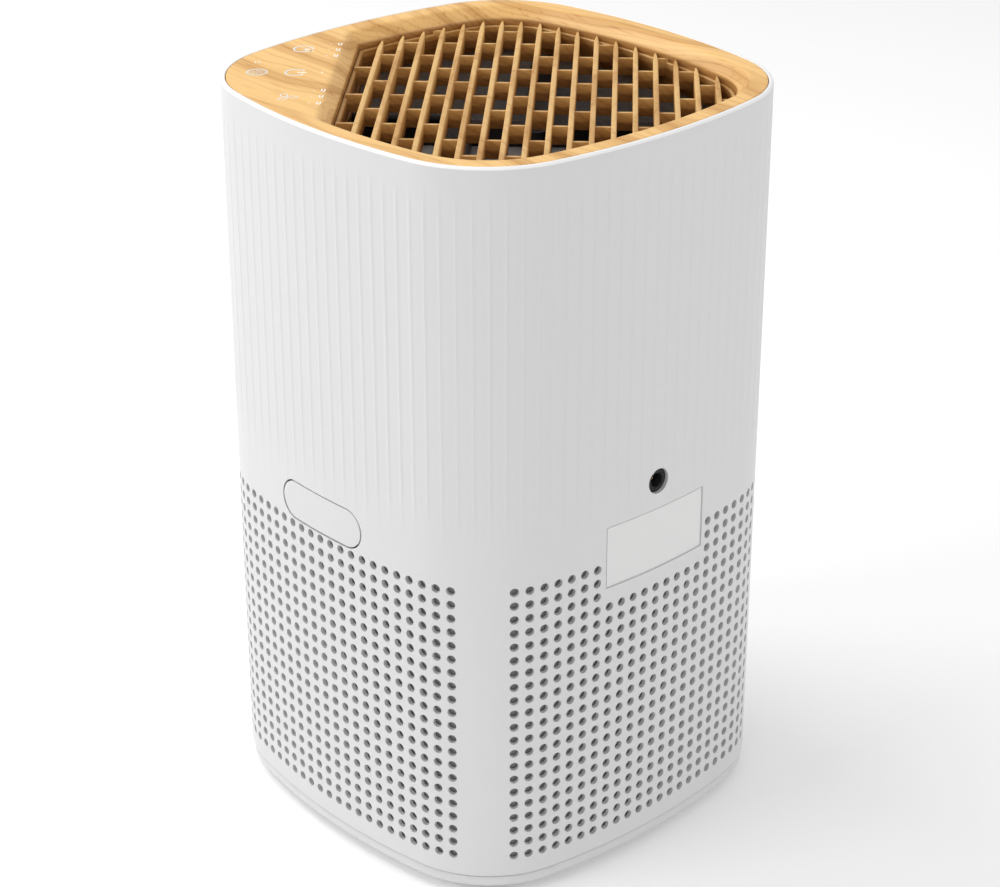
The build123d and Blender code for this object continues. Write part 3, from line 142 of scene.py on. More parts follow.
class Plan:
    """The rounded square: bowed faces joined by tangent corner arcs."""

    def __init__(self, housing):
        self.half = HOUSING_HIGH.x
        self.face = housing.face_radius
        self.corner = housing.corner_radius
        reach = self.face - self.corner
        drop = self.face - self.half
        self.centre = (sqrt(2 * reach ** 2 - drop ** 2) - drop) / 2
        self.turn = atan2(self.centre, self.centre + drop)
        self.face_run = self.face * self.turn
        self.quarter = 2 * (self.face_run + self.corner * (pi / 4 - self.turn))
        self.pitch = self.quarter / housing.flutes
        self.flutes = 4 * housing.flutes

    def at(self, run, inset=0.0):
        """Points at distances round the outline from the +X face's middle, moved inwards."""
        run = np.asarray(run, float)
        inset = np.asarray(inset, float)
        quarter = np.floor((run + self.quarter / 2) / self.quarter)
        local = run - quarter * self.quarter
        side = np.where(local >= 0, 1.0, -1.0)
        on_face = np.abs(local) <= self.face_run
        face_turn = local / self.face
        corner_turn = side * (self.turn + (np.abs(local) - self.face_run) / self.corner)
        turn = np.where(on_face, face_turn, corner_turn)
        reach = np.where(on_face, self.face, self.corner) - inset
        x = np.where(on_face, self.half - self.face, self.centre) + reach * np.cos(turn)
        y = np.where(on_face, 0.0, side * self.centre) + reach * np.sin(turn)
        swing = quarter * pi / 2
        return np.stack([x * np.cos(swing) - y * np.sin(swing),
                         x * np.sin(swing) + y * np.cos(swing)], -1)


def flute_fade(height):
    """How strong the flutes are at each height."""
    z = np.asarray(height) / MM
    bottom = np.clip((z - FLUTE_FADE[0]) / (FLUTE_FADE[1] - FLUTE_FADE[0]), 0, 1)
    top = np.clip((FLUTE_FADE[3] - z) / (FLUTE_FADE[3] - FLUTE_FADE[2]), 0, 1)
    return bottom * bottom * (3 - 2 * bottom) * top * top * (3 - 2 * top)


def hollow_share(plan, run):
    """1 in a flute's flat hollow, falling to 0 on the bead between two flutes."""
    phase = np.asarray(run) / plan.pitch
    phase = phase - np.round(phase)
    return np.clip((0.5 - np.abs(phase)) / BEAD, 0.0, 1.0)


def flute_cut(plan, housing, run, height):
    """Depth of the flutes: narrow beads between flat hollows, faded at both ends."""
    return housing.flute_depth * hollow_share(plan, run) * flute_fade(height)


def bead_share(plan, run, height):
    """1 on a bead's ridge where the flutes are full, 0 in the hollows."""
    return (1 - hollow_share(plan, run)) * flute_fade(height)


FLUTE_FADE = (159.0, 190.0, 312.0, 324.0)   # mm: flutes start, are full, start to fade, and end
BEAD = 0.10                                 # half width of a bead, over one pitch


# --- mesh helpers -------------------------------------------------------------------------------

def mesh_object(name, points, faces, smooth_angle=35.0):
    """A new object from points and faces, in metres: outward faces, sharp edges by angle."""
    mesh = bpy.data.meshes.new(name)
    mesh.from_pydata([tuple(p) for p in points], [], [tuple(f) for f in faces])
    mesh.validate()
    piece = bpy.data.objects.new(name, mesh)
    bpy.context.scene.collection.objects.link(piece)
    tidy_mesh(piece, smooth_angle)
    return piece


def tidy_mesh(piece, smooth_angle=35.0, merge=2e-6):
    """Merge doubles, turn faces outwards and mark sharp edges."""
    work = bmesh.new()
    work.from_mesh(piece.data)
    bmesh.ops.remove_doubles(work, verts=work.verts, dist=merge)
    bmesh.ops.recalc_face_normals(work, faces=work.faces)
    work.to_mesh(piece.data)
    work.free()
    piece.data.shade_smooth()
    piece.data.set_sharp_from_angle(angle=radians(smooth_angle))
    piece.data.update()


def baked(piece):
    """The piece with its modifiers made into a plain mesh, which takes its place."""
    depsgraph = bpy.context.evaluated_depsgraph_get()
    mesh = bpy.data.meshes.new_from_object(piece.evaluated_get(depsgraph), depsgraph=depsgraph)
    piece.modifiers.clear()
    old = piece.data
    piece.data = mesh
    mesh.name = piece.name
    if old.users == 0:
        bpy.data.meshes.remove(old)
    return piece


def discard(*pieces):
    """Remove helper objects."""
    for piece in pieces:
        data = piece.data
        bpy.data.objects.remove(piece)
        if data is not None and data.users == 0:
            bpy.data.meshes.remove(data)


def triangulated(piece):
    """Split every face into triangles, so that cuts meet flat faces only."""
    work = bmesh.new()
    work.from_mesh(piece.data)
    bmesh.ops.triangulate(work, faces=work.faces)
    work.to_mesh(piece.data)
    work.free()


def boolean(piece, cutter, operation):
    """Cut, join or intersect two closed meshes."""
    triangulated(piece)
    triangulated(cutter)
    modifier = piece.modifiers.new("cut", "BOOLEAN")
    modifier.operation = operation
    modifier.solver = "EXACT"
    modifier.object = cutter
    baked(piece)
    if not piece.data.polygons:
        raise RuntimeError(f"{operation.lower()} left nothing of {piece.name}")
    discard(cutter)


def joined(name, pieces, smooth_angle=35.0):
    """Several meshes as one object."""
    points, faces = [], []
    for piece in pieces:
        start = len(points)
        points += [tuple(v.co) for v in piece.data.vertices]
        faces += [[start + i for i in f.vertices] for f in piece.data.polygons]
    discard(*pieces)
    return mesh_object(name, points, faces, smooth_angle)


def ring_strip(rings, closed=True):
    """Faces between equal rings of points, given as one stacked array. Each ring is a loop."""
    points = np.concatenate(rings)
    count = len(rings[0])
    faces = []
    pairs = len(rings) if closed else len(rings) - 1
    for ring in range(pairs):
        a = ring * count
        b = ((ring + 1) % len(rings)) * count
        for i in range(count):
            j = (i + 1) % count
            faces.append((a + i, a + j, b + j, b + i))
    return points, faces


def flat_between(outer, inner):
    """Triangles of the flat face between two loops of points, as points and faces."""
    work = bmesh.new()
    for loop in (outer, inner):
        verts = [work.verts.new(p) for p in loop]
        for i, vert in enumerate(verts):
            work.edges.new((vert, verts[(i + 1) % len(verts)]))
    bmesh.ops.triangle_fill(work, use_beauty=True, edges=work.edges)
    work.verts.index_update()
    points = [tuple(v.co) for v in work.verts]
    faces = [[v.index for v in f.verts] for f in work.faces]
    work.free()
    return points, faces


def prism(name, loop, axis, low, high):
    """A closed prism of a plan loop, pulled along the X, Y or Z axis from low to high."""
    order = {"X": lambda p, t: (t, p[0], p[1]), "Y": lambda p, t: (p[0], t, p[1]),
             "Z": lambda p, t: (p[0], p[1], t)}[axis]
    count = len(loop)
    points = [order(p, low) for p in loop] + [order(p, high) for p in loop]
    faces = [(i, (i + 1) % count, count + (i + 1) % count, count + i) for i in range(count)]
    faces += [list(range(count)), list(range(2 * count - 1, count - 1, -1))]
    return mesh_object(name, points, faces)


def pill(length_across, tall, middle, steps=24):
    """Loop of a rounded slot about (0, middle)."""
    reach = length_across / 2 - tall / 2
    loop = []
    for side in (1, -1):
        for step in range(steps + 1):
            turn = -pi / 2 + pi * step / steps
            loop.append((side * (reach + tall / 2 * cos(turn)),
                         middle + side * tall / 2 * sin(turn)))
    return loop


def disc(radius, centre, steps=48):
    """Loop of a circle."""
    turns = [2 * pi * i / steps for i in range(steps)]
    return [(centre[0] + radius * cos(t), centre[1] + radius * sin(t)) for t in turns]


def across(u, v):
    """X and Y of a point from its distance across, and its distance square to that."""
    return np.array([(u - v) * sqrt(0.5), (u + v) * sqrt(0.5)])


def finish_piece(piece, body, slot, material, *nodes):
    """Ride, material and the CAD nodes that the piece stands for. The slot is not used."""
    piece.data.materials.clear()
    piece.data.materials.append(material)
    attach(piece, body)
    if nodes:
        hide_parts(*nodes)
    return piece


# --- shader helpers -----------------------------------------------------------------------------

class Wire:
    """A shader socket with arithmetic, so that maths reads as an expression."""

    def __init__(self, shader, socket):
        self.shader = shader
        self.socket = socket

    def _math(self, operation, *values):
        return self.shader.node("ShaderNodeMath", {"operation": operation}, list(values))

    def __add__(self, other):
        return self._math("ADD", self, other)

    def __radd__(self, other):
        return self._math("ADD", other, self)

    def __sub__(self, other):
        return self._math("SUBTRACT", self, other)

    def __rsub__(self, other):
        return self._math("SUBTRACT", other, self)

    def __mul__(self, other):
        return self._math("MULTIPLY", self, other)

    def __rmul__(self, other):
        return self._math("MULTIPLY", other, self)

    def __truediv__(self, other):
        return self._math("DIVIDE", self, other)

    def __rtruediv__(self, other):
        return self._math("DIVIDE", other, self)

    def clamped(self):
        """The value kept between 0 and 1."""
        return self._math("MINIMUM", self._math("MAXIMUM", self, 0.0), 1.0)


class Shader:
    """Builds one node material."""

    def __init__(self, name):
        self.material = bpy.data.materials.new(name)
        self.material.use_nodes = True
        self.tree = self.material.node_tree
        self.principled = self.tree.nodes["Principled BSDF"]
        self.coords = self.node("ShaderNodeTexCoord", output="Object")

    def node(self, kind, attributes=None, inputs=None, output=0):
        """Add any node: its settings first, then its socket values or links."""
        made = self.tree.nodes.new(kind)
        for key, value in (attributes or {}).items():
            setattr(made, key, value)
        pairs = enumerate(inputs) if isinstance(inputs, list) else (inputs or {}).items()
        for key, value in pairs:
            self.put(made.inputs[key], value)
        return Wire(self, made.outputs[output])

    def put(self, socket, value):
        """Link a wire to a socket, or set its value."""
        if isinstance(value, Wire):
            self.tree.links.new(value.socket, socket)
        else:
            socket.default_value = value

    def ramp(self, factor, stops):
        """A number remapped by grey stops of (place, value)."""
        made = self.tree.nodes.new("ShaderNodeValToRGB")
        elements = made.color_ramp.elements
        while len(elements) < len(stops):
            elements.new(0.5)
        for element, (place, value) in zip(elements, stops):
            element.position = place
            element.color = (value, value, value, 1)
        self.put(made.inputs[0], factor)
        return self.node("ShaderNodeSeparateColor", inputs={"Color": Wire(self, made.outputs[0])})

    def mix(self, factor, first, second):
        """Two colours mixed."""
        made = self.tree.nodes.new("ShaderNodeMix")
        made.data_type = "RGBA"
        for socket, value in zip((made.inputs[0], made.inputs[6], made.inputs[7]),
                                 (factor, first, second)):
            if not isinstance(value, Wire) and socket.name != "Factor":
                value = (*value[:3], 1)
            self.put(socket, value)
        return Wire(self, made.outputs[2])

    def sine(self, value):
        """Sine of a number."""
        return self.node("ShaderNodeMath", {"operation": "SINE"}, [value])

    def axis(self, index, place=None):
        """One coordinate: 0 along X, 1 along Y or 2 along Z."""
        return self.node("ShaderNodeSeparateXYZ", inputs=[place or self.coords], output=index)

    def noise(self, scale, detail=2.0, stretch=(1, 1, 1), turn=0.0):
        """Noise on object coordinates, stretched and turned about Z."""
        place = self.node("ShaderNodeMapping", inputs={
            "Vector": self.coords, "Rotation": (0, 0, turn), "Scale": stretch})
        return self.node("ShaderNodeTexNoise", inputs={
            "Vector": place, "Scale": scale, "Detail": detail})

    def bump(self, height, strength, distance):
        """Link a bump to the surface."""
        normal = self.node("ShaderNodeBump", inputs={
            "Height": height, "Strength": strength, "Distance": distance})
        self.put(self.principled.inputs["Normal"], normal)

    def surface(self, **values):
        """Set or link sockets of the surface, named with underscores for spaces."""
        for key, value in values.items():
            socket = self.principled.inputs[key.replace("_", " ")]
            if isinstance(value, tuple) and len(value) == 3 and socket.type == "RGBA":
                value = (*value, 1)
            self.put(socket, value)
        return self


def moulded(name, base, roughness=0.42, grain=0.00003, variation=0.03, specular=0.4,
            bright=None):
    """Moulded plastic: grain, slight mottling, and a painted highlight on bead ridges and on the
    rim above a height.
    """
    shader = Shader(name)
    mottle = shader.noise(14.0, 3.0)
    fine = shader.noise(2600.0, 2.0)
    tone = shader.mix(mottle, tuple(c * (1 - variation) for c in base), base)
    if bright is not None:
        up = shader.axis(2)
        # Painted highlight: paler colour on the rim above a height and on the flute beads'
        # ridges.
        ridge = shader.node("ShaderNodeAttribute", {"attribute_name": "ridge"}, output=2)
        painted_highlight = ((up - bright) * RIM_HIGHLIGHT_RISE + ridge * RIDGE_HIGHLIGHT_SHARE).clamped()
        tone = shader.mix(painted_highlight, tone, tuple(min(1.0, c * HIGHLIGHT_GAIN) for c in base))
    shader.surface(Base_Color=tone, Specular_IOR_Level=specular,
                   Roughness=roughness + (mottle - 0.5) * 0.08 + (fine - 0.5) * 0.06)
    shader.bump(fine + shader.noise(900.0, 1.0) * 0.6, 0.25, grain)
    return shader.material


RIM_HIGHLIGHT_RISE = 2000.0   # painted highlight: paler colour gained per metre above the height where it starts
RIDGE_HIGHLIGHT_SHARE = 0.75       # how much of the painted highlight a bead's ridge has
# how much paler the painted highlight makes the plastic
HIGHLIGHT_GAIN = 1.38


def wood(name, finish, top, shade=1.0, contrast=1.0, fleck=0.35, turn=0.0):
    """Light-oak look: wavy growth bands, pores and warm drift, with painted shade darkening it
    down in the recesses.
    """
    shader = Shader(name)
    drift = shader.noise(9.0, 2.0, (0.35, 1.0, 1.0), turn=turn)
    swirl = shader.noise(11.0, 3.0, (0.34, 1.0, 1.0), turn=turn)
    across_grain = shader.axis(1, shader.node(
        "ShaderNodeMapping", inputs={"Vector": shader.coords, "Rotation": (0, 0, turn)}))
    up = shader.axis(2)
    rings = (across_grain * 120.0 + up * 260.0 + swirl * 13.0 + drift * 9.0)
    wave = shader.sine(rings * 2.0)
    broad = shader.ramp(wave * 0.5 + 0.5, [(0.0, 0.0), (0.45, 0.15), (0.85, 0.75), (1.0, 1.0)])
    thin = shader.sine(rings * 9.0 + swirl * 6.0)
    lines = shader.ramp(thin * 0.5 + 0.5, [(0.0, 0.0), (0.7, 0.05), (1.0, 1.0)])
    pores = shader.noise(700.0, 2.0, (0.06, 1.0, 1.0), turn=turn)
    pore_mask = shader.ramp(pores, [(0.0, 0.0), (0.56, 0.0), (0.72, 1.0), (1.0, 1.0)])
    figure = broad * 0.48 + lines * 0.22 + (drift - 0.5) * 0.5 + pore_mask * fleck
    amount = figure * contrast * 1.2
    # Painted shade: the shade factor scales the whole wood colour, so the lower grille is a
    # darker copy of the cover's wood.
    surface = shader.mix(amount.clamped(), tuple(c * shade for c in finish.wood_light),
                         tuple(c * shade for c in finish.wood_dark))
    # Painted shade: below the top height the wood goes to a darker brown, down into the outlet.
    painted_shade = shader.ramp(((top - up) / RECESS_DEPTH).clamped(), RECESS_STOPS)
    inside = shader.mix((lines * 0.6 + broad * 0.4).clamped(), tuple(finish.wood_painted_shade),
                        tuple(c * 0.62 for c in finish.wood_painted_shade))
    tone = shader.mix(painted_shade, surface, inside)
    shader.surface(Base_Color=tone, Roughness=0.46 + broad * 0.08 + pore_mask * 0.08,
                   Specular_IOR_Level=0.35, Coat_Weight=0.12, Coat_Roughness=0.35)
    shader.bump(1 - lines * 0.3 - pore_mask * 0.7, 0.25, 0.00006)
    return shader.material


RECESS_DEPTH = 0.012     # depth over which painted shade darkens the recess, and how much of it there is on the way
RECESS_STOPS = [(0.0, 0.0), (0.04, 0.10), (0.38, 0.24), (0.46, 0.85), (0.8, 1.0)]


def metal(name, base, roughness=0.3, scale=400.0):
    """Turned or plated metal with fine brushing."""
    shader = Shader(name)
    brushed = shader.noise(scale, 2.0, (1, 1, 0.05))
    shader.surface(Base_Color=shader.mix(brushed, tuple(c * 0.85 for c in base), base),
                   Metallic=1.0, Roughness=roughness + brushed * 0.15)
    shader.bump(brushed, 0.15, 0.00002)
    return shader.material


def woven(name, base, thread=0.0008, depth=0.0003, roughness=0.85):
    """Net, felt or tape: crossed threads or fibres in colour and bump."""
    shader = Shader(name)
    warp = shader.sine((shader.axis(0) + shader.axis(1)) * (2 * pi / thread))
    weft = shader.sine(shader.axis(2) * (2 * pi / thread))
    weave = (warp * weft) * 0.5 + 0.5
    fibre = shader.noise(1800.0, 3.0)
    shader.surface(Base_Color=shader.mix((weave * 0.7 + fibre * 0.3).clamped(),
                                         tuple(c * 0.55 for c in base), base),
                   Roughness=roughness, Sheen_Weight=0.2)
    shader.bump(weave + fibre * 0.5, 0.5, depth)
    return shader.material


# --- repeats made with geometry nodes -----------------------------------------------------------

def new_tree(name, inputs):
    """A geometry node tree with named inputs and one geometry output."""
    tree = bpy.data.node_groups.new(name, "GeometryNodeTree")
    tree.interface.new_socket("Geometry", in_out="INPUT", socket_type="NodeSocketGeometry")
    for label, kind in inputs:
        tree.interface.new_socket(label, in_out="INPUT", socket_type=kind)
    tree.interface.new_socket("Geometry", in_out="OUTPUT", socket_type="NodeSocketGeometry")
    start = tree.nodes.new("NodeGroupInput")
    end = tree.nodes.new("NodeGroupOutput")
    return tree, start, end


def tree_node(tree, kind, settings=None, inputs=None):
    """Add a geometry node: its settings first, then the values or links of its sockets."""
    made = tree.nodes.new(kind)
    for key, value in (settings or {}).items():
        setattr(made, key, value)
    for key, value in (inputs or {}).items():
        socket = made.inputs[key]
        if isinstance(value, bpy.types.NodeSocket):
            tree.links.new(value, socket)
        else:
            socket.default_value = value
    return made


def rows_tree():
    """A piece repeated in rows and columns, each second row staggered."""
    found = bpy.data.node_groups.get("Rows Of Pieces")
    if found:
        return found
    tree, start, end = new_tree("Rows Of Pieces", [
        ("Columns", "NodeSocketInt"), ("Column Step", "NodeSocketVector"),
        ("Rows", "NodeSocketInt"), ("Row Step", "NodeSocketVector"),
        ("Stagger", "NodeSocketVector"), ("Merge", "NodeSocketFloat"),
        ("Material", "NodeSocketMaterial")])
    columns = tree_node(tree, "GeometryNodeMeshLine", {"mode": "OFFSET"}, {
        "Count": start.outputs["Columns"], "Offset": start.outputs["Column Step"]})
    row = tree_node(tree, "GeometryNodeInstanceOnPoints", inputs={
        "Points": columns.outputs[0], "Instance": start.outputs["Geometry"]})
    rows = tree_node(tree, "GeometryNodeMeshLine", {"mode": "OFFSET"}, {
        "Count": start.outputs["Rows"], "Offset": start.outputs["Row Step"]})
    index = tree_node(tree, "GeometryNodeInputIndex")
    odd = tree_node(tree, "ShaderNodeMath", {"operation": "MODULO"},
                    {0: index.outputs[0], 1: 2.0})
    shift = tree_node(tree, "ShaderNodeVectorMath", {"operation": "SCALE"}, {
        0: start.outputs["Stagger"], "Scale": odd.outputs[0]})
    moved = tree_node(tree, "GeometryNodeSetPosition", inputs={
        "Geometry": rows.outputs[0], "Offset": shift.outputs[0]})
    grid = tree_node(tree, "GeometryNodeInstanceOnPoints", inputs={
        "Points": moved.outputs[0], "Instance": row.outputs[0]})
    real = tree_node(tree, "GeometryNodeRealizeInstances", inputs={"Geometry": grid.outputs[0]})
    merged = tree_node(tree, "GeometryNodeMergeByDistance", inputs={
        "Geometry": real.outputs[0], "Distance": start.outputs["Merge"]})
    painted = tree_node(tree, "GeometryNodeSetMaterial", inputs={
        "Geometry": merged.outputs[0], "Material": start.outputs["Material"]})
    tree.links.new(painted.outputs[0], end.inputs[0])
    return tree


def places_tree():
    """A piece put at each point of a mesh, turned about Z by the point's own turn."""
    found = bpy.data.node_groups.get("Pieces At Points")
    if found:
        return found
    tree, start, end = new_tree("Pieces At Points", [
        ("Piece", "NodeSocketObject"), ("Material", "NodeSocketMaterial")])
    piece = tree_node(tree, "GeometryNodeObjectInfo", inputs={"Object": start.outputs["Piece"]})
    turn = tree_node(tree, "GeometryNodeInputNamedAttribute", {"data_type": "FLOAT_VECTOR"},
                     {"Name": "turn"})
    size = tree_node(tree, "GeometryNodeInputNamedAttribute", {"data_type": "FLOAT_VECTOR"},
                     {"Name": "size"})
    rotation = tree_node(tree, "FunctionNodeEulerToRotation", inputs={0: turn.outputs[0]})
    put = tree_node(tree, "GeometryNodeInstanceOnPoints", inputs={
        "Points": start.outputs["Geometry"], "Instance": piece.outputs["Geometry"],
        "Rotation": rotation.outputs[0], "Scale": size.outputs[0]})
    real = tree_node(tree, "GeometryNodeRealizeInstances", inputs={"Geometry": put.outputs[0]})
    painted = tree_node(tree, "GeometryNodeSetMaterial", inputs={
        "Geometry": real.outputs[0], "Material": start.outputs["Material"]})
    tree.links.new(painted.outputs[0], end.inputs[0])
    return tree


def run_tree(piece, tree, **values):
    """Run a tree on a piece, with its inputs by name, and leave a plain mesh."""
    modifier = piece.modifiers.new(tree.name, "NODES")
    modifier.node_group = tree
    for item in tree.interface.items_tree:
        key = item.name.replace(" ", "_")
        if item.in_out == "INPUT" and key in values:
            modifier[item.identifier] = values[key]
    return baked(piece)


def repeated(piece, columns, column_step, rows, row_step, stagger=(0, 0, 0), merge=0.0,
             material=None):
    """The piece repeated in rows and columns."""
    return run_tree(piece, rows_tree(), Columns=columns, Column_Step=column_step, Rows=rows,
                    Row_Step=row_step, Stagger=stagger, Merge=merge, Material=material)


def placed(name, piece, points, turns, sizes=None, material=None):
    """Copies of the piece at points, as one object. The piece itself is removed."""
    mesh = bpy.data.meshes.new(name)
    mesh.from_pydata([tuple(p) for p in points], [], [])
    for label, rows in (("turn", turns), ("size", sizes or [(1, 1, 1)] * len(points))):
        mesh.attributes.new(label, "FLOAT_VECTOR", "POINT")
        mesh.attributes[label].data.foreach_set("vector", [float(c) for row in rows for c in row])
    result = bpy.data.objects.new(name, mesh)
    bpy.context.scene.collection.objects.link(result)
    run_tree(result, places_tree(), Piece=piece, Material=material)
    discard(piece)
    tidy_mesh(result)
    return result


# --- housing ------------------------------------------------------------------------------------

def cell_edge(wide, tall):
    """The twelve points round a cell, in thirds of each side, anticlockwise from the right."""
    w, h = wide / 2, tall / 2
    steps = [-1, -1 / 3, 1 / 3]
    return ([(w, h * t) for t in steps] + [(-w * t, h) for t in steps]
            + [(-w, -h * t) for t in steps] + [(w * t, -h) for t in steps])


def perforated_tile(housing, plan):
    """One cell of wall laid flat: X along the wall, Y up it, Z the depth below its outside."""
    edge = cell_edge(plan.pitch, housing.hole_row_pitch)
    radius = housing.hole_diameter / 2
    hole = [(radius * cos(radians(-45 + 30 * i)), radius * sin(radians(-45 + 30 * i)))
            for i in range(12)]
    points = [(x, y, depth) for depth in (0.0, housing.wall) for x, y in edge + hole]
    faces = []
    for i in range(12):
        j = (i + 1) % 12
        faces.append((i, j, 12 + j, 12 + i))
        faces.append((24 + j, 24 + i, 36 + i, 36 + j))
        faces.append((12 + i, 12 + j, 36 + j, 36 + i))
    mesh = bpy.data.meshes.new("tile")
    mesh.from_pydata(points, [], faces)
    tile = bpy.data.objects.new("tile", mesh)
    bpy.context.scene.collection.objects.link(tile)
    return tile


OUTSIDE_DEPTH = 0.0015   # points less deep than this are on the outside and follow the flutes


class Skin:
    """Collects the housing's points, their ridge shares and faces, by run, height and depth."""

    def __init__(self, plan, housing):
        self.plan = plan
        self.housing = housing
        self.points = []
        self.ridges = []
        self.faces = []
        self.count = 0

    def add(self, run, height, depth, faces, fluted=True):
        run, height, depth = (np.asarray(a, float) for a in (run, height, depth))
        outside = (depth < OUTSIDE_DEPTH) * fluted
        cut = flute_cut(self.plan, self.housing, run, height) * outside
        spot = self.plan.at(run, depth + cut)
        self.points.append(np.column_stack([spot, height]))
        self.ridges.append(bead_share(self.plan, run, height) * outside)
        self.faces += [tuple(self.count + i for i in face) for face in faces]
        self.count += len(run)

    def ring_rows(self, phases, heights, depths, fluted):
        """Rows of quads right round, at the given heights and depths."""
        run = (np.arange(len(phases) * self.plan.flutes) // len(phases)
               + np.tile(phases, self.plan.flutes)) * self.plan.pitch
        count = len(run)
        faces = [(row * count + i, row * count + (i + 1) % count,
                  (row + 1) * count + (i + 1) % count, (row + 1) * count + i)
                 for row in range(len(heights) - 1) for i in range(count)]
        for row, (height, depth, cut) in enumerate(zip(heights, depths, fluted)):
            part = faces if row == 0 else []
            self.add(run, np.full(count, height), np.full(count, depth), part, cut)


def housing_shell(housing, plan):
    """The whole white body: perforated below, fluted above, with a rounded rim."""
    pitch, rows = plan.pitch, housing.hole_row_pitch
    low = housing.hole_bottom - rows / 2
    high = low + rows * housing.hole_rows
    skin = Skin(plan, housing)
    tile = repeated(perforated_tile(housing, plan), housing.hole_columns, (pitch, 0, 0),
                    housing.hole_rows, (0, rows, 0), merge=1e-6)
    flat = np.array([v.co for v in tile.data.vertices])
    cells = [tuple(f.vertices) for f in tile.data.polygons]
    discard(tile)
    half = housing.hole_columns // 2
    middle = np.array([flat[list(c)].mean(axis=0) for c in cells])
    column = np.round(middle[:, 0] / pitch) - half
    row = np.round(middle[:, 1] / rows)
    label_reach = (LABEL_HIGH.y - LABEL_LOW.y) / 2
    covered = (np.abs(column) * pitch < label_reach) & (
        low + row * rows + rows > LABEL_LOW.z - 0.001)
    edge = np.array(cell_edge(pitch, rows))
    plain_faces = [tuple(range(12)), tuple(range(23, 11, -1))]
    for face in range(4):
        kept = [c for c, hidden in zip(cells, covered) if not (face == 0 and hidden)]
        skin.add(face * plan.quarter + flat[:, 0] - half * pitch, low + rows / 2 + flat[:, 1],
                 flat[:, 2], kept)
        plain = [(k, r) for k in range(half + 1, housing.flutes - half)
                 for r in range(housing.hole_rows)]
        if face == 0:
            plain += sorted({(int(k), int(r)) for k, r in zip(column[covered], row[covered])})
        for k, r in plain:
            run = np.tile(face * plan.quarter + k * pitch + edge[:, 0], 2)
            height = np.tile(low + rows / 2 + r * rows + edge[:, 1], 2)
            skin.add(run, height, np.repeat([0.0, housing.wall], 12), plain_faces)
    thirds = (-1 / 2, -1 / 6, 1 / 6)
    sixths = (-1 / 2, BEAD - 0.5, -0.2, 0.0, 0.2, 0.5 - BEAD)
    seam = HOUSING_LOW.z
    skin.ring_rows(thirds, [low, seam, seam, seam + 0.0002, seam + 0.0006, low],
                   [housing.wall, housing.wall, 0.0006, 0.00015, 0.0, 0.0], [False] * 6)
    around = len(thirds) * plan.flutes
    for depth, first in ((0.0, 0), (housing.wall, 1)):
        start = high
        joint = start + 0.004
        run3 = (np.arange(around) // 3 + np.tile(thirds, plan.flutes)) * pitch
        run6 = (np.arange(2 * around) // 6 + np.tile(sixths, plan.flutes)) * pitch
        faces = [(i, (i + 1) % around, around + (2 * i + 2) % (2 * around),
                  around + 2 * i + 1, around + 2 * i) for i in range(around)]
        skin.add(np.concatenate([run3, run6]),
                 np.concatenate([np.full(around, start), np.full(2 * around, joint)]),
                 np.full(3 * around, depth), faces, fluted=first == 0)
    joint = high + 0.004
    top = HOUSING_HIGH.z
    bend = housing.rim_round
    heights = list(np.concatenate([np.arange(joint, 0.222, 0.008), [0.222, 0.245],
                                   np.arange(0.268, 0.3225, 0.006), [top - 0.004]]))
    depths = [0.0] * len(heights)
    arc = [radians(a) for a in (0, 18, 36, 54, 72, 90)]
    heights += [top - bend + bend * sin(a) for a in arc]
    depths += [bend - bend * cos(a) for a in arc]
    fluted = [True] * len(heights)
    heights += [top, top - 0.0002, joint]
    depths += [housing.wall - 0.0002, housing.wall, housing.wall]
    skin.ring_rows(sixths, heights, depths, fluted + [False] * 3)
    points = np.concatenate(skin.points)
    shell = mesh_object("housing_shell", points, skin.faces, HOUSING_CREASE)
    return shell, points, np.concatenate(skin.ridges)


SAME_PLACE = 0.00001


def mark_ridge_highlights(shell, points, shares):
    """Write each vertex's share of a bead's ridge to the mesh, for the painted highlight along
    the ridge.
    """
    proud = np.flatnonzero(shares > 0.001)
    tree = KDTree(len(proud))
    for place, index in enumerate(proud):
        tree.insert(points[index], place)
    tree.balance()
    values = []
    for vertex in shell.data.vertices:
        place, gap = tree.find(vertex.co)[1:]
        values.append(float(shares[proud[place]]) if gap < SAME_PLACE else 0.0)
    shell.data.attributes.new("ridge", "FLOAT", "POINT").data.foreach_set("value", values)


def face_patch(name, plan, wide, tall, height, corner, inner, outer):
    """A rounded rectangle lying on the +X face, between two depths."""
    turns = np.linspace(0, pi / 2, 6)
    side = np.concatenate([-wide / 2 + corner - corner * np.cos(turns),
                           np.linspace(-wide / 2 + corner, wide / 2 - corner, 14)[1:-1],
                           (wide / 2 - corner + corner * np.cos(turns))[::-1]])
    reach = np.concatenate([tall / 2 - corner + corner * np.sin(turns), np.full(12, tall / 2),
                            (tall / 2 - corner + corner * np.sin(turns))[::-1]])
    points = []
    for run, up in zip(side, reach):
        for depth, level in ((inner, -up), (outer, -up), (outer, up), (inner, up)):
            x, y = plan.at(run, depth)
            points.append((x, y, height + level))
    faces = [(4 * i + a, 4 * i + (a + 1) % 4, 4 * i + 4 + (a + 1) % 4, 4 * i + 4 + a)
             for i in range(len(side) - 1) for a in range(4)]
    faces += [(0, 3, 2, 1), tuple(4 * (len(side) - 1) + a for a in range(4))]
    return mesh_object(name, points, faces)


